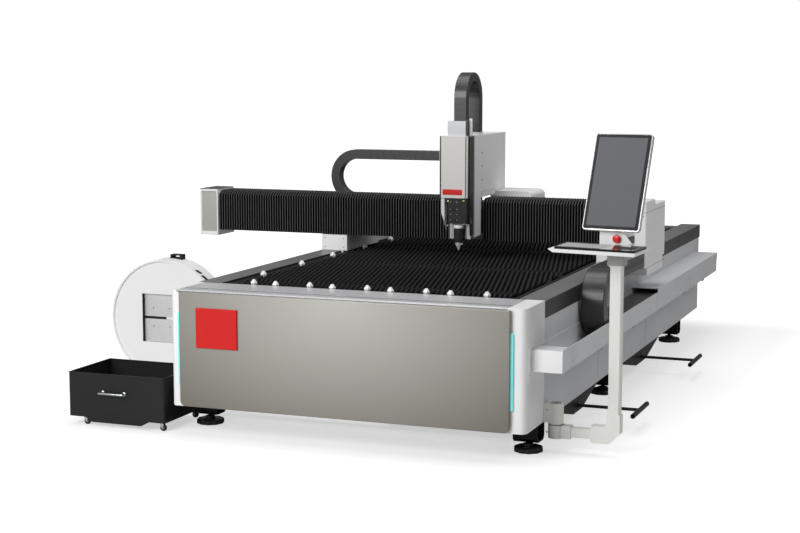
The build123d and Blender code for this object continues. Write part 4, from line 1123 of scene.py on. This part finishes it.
class MakeCabinet(Operator):
    """Rim vents, window plates, plate screws, gap and latch of the round cabinet"""

    bl_idname = "cutter.cabinet"
    bl_label = "Round cabinet"

    def execute(self, context):
        x, z, radius = -886, 429, 429
        front, recess = 1490, 42
        drum = Shape()
        for turn in (38, 46, 54):
            t = math.radians(turn)
            out = Vector((math.cos(t), 0, math.sin(t)))
            side = Vector((-math.sin(t), 0, math.cos(t)))
            centre = Vector((x, 1580, z)) + out * radius
            ring = [centre + side * s * 22 + Vector((0, y, 0)) for s, y in ((-1, -46), (1, -62), (1, -26), (-1, -10))]
            drum.loft([[p + out * reach for p in ring] for reach in (-3, 0.4)])
        drum.piece("cabinet_vents", "machine", ["gap"])
        low, high = 257, 606
        middle = (low + high) / 2
        window = Shape()
        plane = front + recess
        for z0, z1 in ((low + 2, middle - 9), (middle + 9, high - 2)):
            window.block(x - 184, x + 184, plane - 2, plane + 3, z0, z1, 0, 1.5)
        window.block(x - 186, x + 186, plane + 1, plane + 11, middle - 10, middle + 10, 1)
        window.block(x - 2, x + 60, plane - 8, plane - 1, middle - 8, middle + 9, 2, 2.0)
        window.block(x - 186, x - 181, front + 14.4, plane, low, high, 1)
        window.piece("cabinet_window", "machine", ["plate", "gap", "white"],
                     ("cabinet_plates",))
        spots = [(x + dx, plane - 2, middle + dz) for dx in (-110, 20) for dz in (-62, 70)]
        screws("cabinet_screws", "machine", spots, "front", 4.0, "shade")
        return {"FINISHED"}


class MakeTrough(Operator):
    """Screws, clips, seams and end plate of the chain trough, and seams of the bed wall"""

    bl_idname = "cutter.trough"
    bl_label = "Chain trough"

    def execute(self, context):
        radius = context.scene.cutter_sizes.screw_radius * 1000
        screws("trough_screws", "machine", [(2422, y, 661) for y in (2624, 2742, 2860, 2979)], "right", 9.0, "shade")
        screws("trough_low_screws", "machine", [(2422, 300 + 520 * i, 560) for i in range(9)], "right",
               radius * 0.8)
        clips = Shape()
        for y in (481, 1057, 1900, 2760, 3600, 4392):
            clips.block(2396, 2420, y - 22, y + 22, 507, 519.4, 0, 2.0)
            clips.block(2404, 2412, y - 10, y + 10, 499, 508, 0, 1.5)
        clips.piece("trough_clips", "machine", ["zinc"])
        seams = Shape()
        seams.block(2421, 2422.6, 2588, 2590.2, 520, 645)
        seams.block(2421, 2422.6, 3790, 3792.2, 520, 671)
        seams.piece("trough_seams", "machine", ["seam"])
        end = Shape()
        end.block(2240.5, 2421.5, 92.2, 95, 519.5, 644.5, 0, 0.8)
        end.piece("trough_end_plate", "machine", ["white"])
        wall = Shape()
        for y in (1640, 3060):
            wall.block(2239.6, 2240.6, y - 1, y + 1, 190, 700)
        wall.piece("wall_seams", "machine", ["seam"])
        return {"FINISHED"}


class MakeBedTrim(Operator):
    """Light strips, header groove, foot pads and the bed's small brackets"""

    bl_idname = "cutter.bed_trim"
    bl_label = "Bed trim"

    def execute(self, context):
        low, high = bed_box("light_strips")
        strips = Shape()
        for x in (2150, 57):
            strips.along("y", corner_round(x, x + 16, low.z, high.z, 7.9), low.y + 0.4, low.y + 8)
        strips.piece("light_covers", "machine", ["light"], ("light_strips",))
        low, high = bed_box("header_trim")
        x0, x1, z0 = low.x, high.x, low.z
        groove = Shape()
        groove.block(x0 + 2, x1 - 2, 94.6, 106.8, z0 + 12.6, z0 + 13.4)
        groove.block(x0 + 2, x1 - 2, 113.2, 125.2, z0 + 12.6, z0 + 13.4)
        groove.block(x0, x1, 357, 365.6, z0 + 1, z0 + 15.4)
        groove.block(x0, x1, low.y - 0.5, low.y + 4, z0 + 0.2, z0 + 5)
        groove.piece("header_shadow_gap", "machine", ["shade"])
        pad = Shape()
        lobes = 10
        steps = lobes * 10

        def round_pad(radius, z):
            ring = []
            for i in range(steps):
                t = 2 * math.pi * i / steps
                reach = radius + 6 * abs(math.cos(lobes * t / 2)) - 4
                ring.append((reach * math.cos(t), reach * math.sin(t), z))
            return ring

        pad.loft([round_pad(78, 0), round_pad(84, 3), round_pad(84, 24), round_pad(78, 30)])
        pad.lathe((0, 0, 0), (0, 0, 1), [(0, 28), (52, 28), (50, 33), (0, 33)], 0, 32)
        pad.along("z", [(33 * math.cos(math.pi * i / 3), 33 * math.sin(math.pi * i / 3)) for i in range(6)], 32, 48,
                  0, 2.0)
        thread = [(0, 46)]
        for i in range(12):
            thread += [(13.8, 48 + i * 1.5), (12.6, 48.75 + i * 1.5)]
        thread += [(13, 66), (0, 66)]
        pad.lathe((0, 0, 0), (0, 0, 1), thread, 0, 20)
        last = bed_box("levelling_feet")[1].y - 88
        spots = [(x, y, 0) for x in (83, 2157) for y in (340, 2120, last)]
        repeat("foot_pads", pad, spots, "soft_black", "machine", replaces=("levelling_feet",))
        brackets = Shape()
        for x, y in ((2012, 725), (1987, 1230), (1973, 1516)):
            brackets.along("y", [(x, 866), (x + 50, 866), (x + 50, 898)], y - 4, y + 4, 0, 0.5)
        for x0, x1 in ((2031, 2049), (191, 209)):
            brackets.block(x0, x1, 420, 4890, 862, 868, 1, 1.0)
        brackets.block(215, 2025, 434, 440, 852, 872, 1, 1.0)
        brackets.piece("comb_brackets", "machine", ["black", "shade"])
        return {"FINISHED"}


class MakeDrawersAndCart(Operator):
    """Grips and slits of the drawers, the cart's handle and rim, casters with chrome forks"""

    bl_idname = "cutter.drawers_cart"
    bl_label = "Drawers and cart"

    def execute(self, context):
        for name, centre in (("front", 1140), ("rear", 2940)):
            rods = Shape()
            reach, rod_z = 2633, 118
            for side in (-1, 1):
                rods.bar((reach, centre + side * 200, rod_z), (reach, centre + side * 196, rod_z), 14.9, 0, 24, 11)
            rods.bar((reach, centre - 196, rod_z), (reach, centre + 196, rod_z), 15.1, 1, 32)
            rods.bar((2240, centre, rod_z), (reach - 12, centre, rod_z), 10.2, 1, 28)
            rods.bar((2240, centre, rod_z), (2248, centre, rod_z), 18, 1, 28, 15)
            for k in range(4):
                y = centre - 90 + 60 * k
                rods.block(2239.4, 2240.8, y - 18, y + 18, 150, 156)
            rods.piece(name + "_drawer_grip", name + "_drawer", ["gap", "black"])
        cart = Shape()
        x0, x1, y0, y1 = -722, -46, -10, 480
        for a, b, c, d in ((x0, x1, y0 - 0.5, y0 + 10), (x0, x1, y1 - 10, y1), (x0, x0 + 10, y0, y1),
                           (x1 - 10, x1, y0, y1)):
            cart.block(a, b, c, d, 329, 334, 0, 1.2)
        middle, handle_z = (x0 + x1) / 2 - 20, 217
        for x in (middle - 75, middle + 75):
            post = [(0, 0), (13, 0), (13, 2), (7.5, 4), (7.5, 30), (0, 30)]
            cart.lathe((x, y0 + 0.5, handle_z), (0, -1, 0), post, 1, 24)
        cart.bar((middle - 88, y0 - 32, handle_z), (middle + 88, y0 - 32, handle_z), 7.6, 1, 28, bevel=1.5)
        cart.piece("cart_handle_and_rim", "cart", ["black", "zinc"])
        self.casters()
        return {"FINISHED"}

    def casters(self):
        """Forks, treads and hubs."""
        for name in CASTERS:
            low, high = bed_box("caster_wheel_" + name)
            x, y, z = (low + high) / 2
            wheel = Shape()
            tread = [(4.4, -8.8), (17, -8.8), (20, -7), (20.9, -4), (20.9, 4), (20, 7), (17, 8.8), (4.4, 8.8),
                     (4.4, -8.8)]
            wheel.lathe((x, y, z), (0, 1, 0), tread, 0, 40)
            for side in (-1, 1):
                wheel.lathe((x, y, z), (0, side, 0), [(4.4, 8.6), (12, 8.6), (11, 9), (4.4, 9), (4.4, 8.6)], 1, 28)
            wheel.piece("wheel_tread_" + name, "wheel_" + name, ["rubber", "mid"],
                        ("caster_wheel_" + name,))
            fork = Shape()
            fork.lathe((x - 9, y, 0), (0, 0, 1), [(0, 51.2), (13.6, 51.2), (13.6, 54.4), (0, 54.4)], 0, 28)
            for side in (-1, 1):
                fork.lathe((x, y, z), (0, side, 0), [(0, 13.2), (6, 13.2), (5, 15.6), (0, 15.6)], 1, 16)
            fork.piece("fork_cap_" + name, "fork_" + name, ["chrome", "zinc"])


class CutterPanel(Panel):
    """Lists the machine's settings and the steps that make its pieces"""

    bl_idname = "VIEW3D_PT_laser_cutter"
    bl_label = "Laser Cutter"
    bl_space_type = "VIEW_3D"
    bl_region_type = "UI"
    bl_category = "Laser Cutter"

    def draw(self, context):
        layout = self.layout
        for settings in (context.scene.cutter_sizes, context.scene.cutter_colours):
            for name in settings.bl_rna.properties.keys():
                if name not in {"rna_type", "name"}:
                    layout.prop(settings, name)
        for step in STEPS:
            layout.operator(step.bl_idname)


STEPS = (StageCutter, FinishNodes, MakeSlats, MakeRollers, MakeChains, MakeBellows, MakeGantryTrim, MakeHead,
         MakeConsole, MakeCabinet, MakeTrough, MakeBedTrim, MakeDrawersAndCart)
CLASSES = (CutterColours, CutterSizes) + STEPS + (CutterPanel,)


def register():
    for cls in CLASSES:
        bpy.utils.register_class(cls)
    bpy.types.Scene.cutter_colours = PointerProperty(type=CutterColours)
    bpy.types.Scene.cutter_sizes = PointerProperty(type=CutterSizes)


def unregister():
    del bpy.types.Scene.cutter_sizes
    del bpy.types.Scene.cutter_colours
    for cls in reversed(CLASSES):
        bpy.utils.unregister_class(cls)


def main():
    """Registers the add-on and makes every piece."""
    register()
    for step in STEPS:
        group, name = step.bl_idname.split(".")
        result = getattr(getattr(bpy.ops, group), name)()
        if result != {"FINISHED"}:
            raise RuntimeError(step.bl_label + " did not finish")


if __name__ == "__main__":
    main()
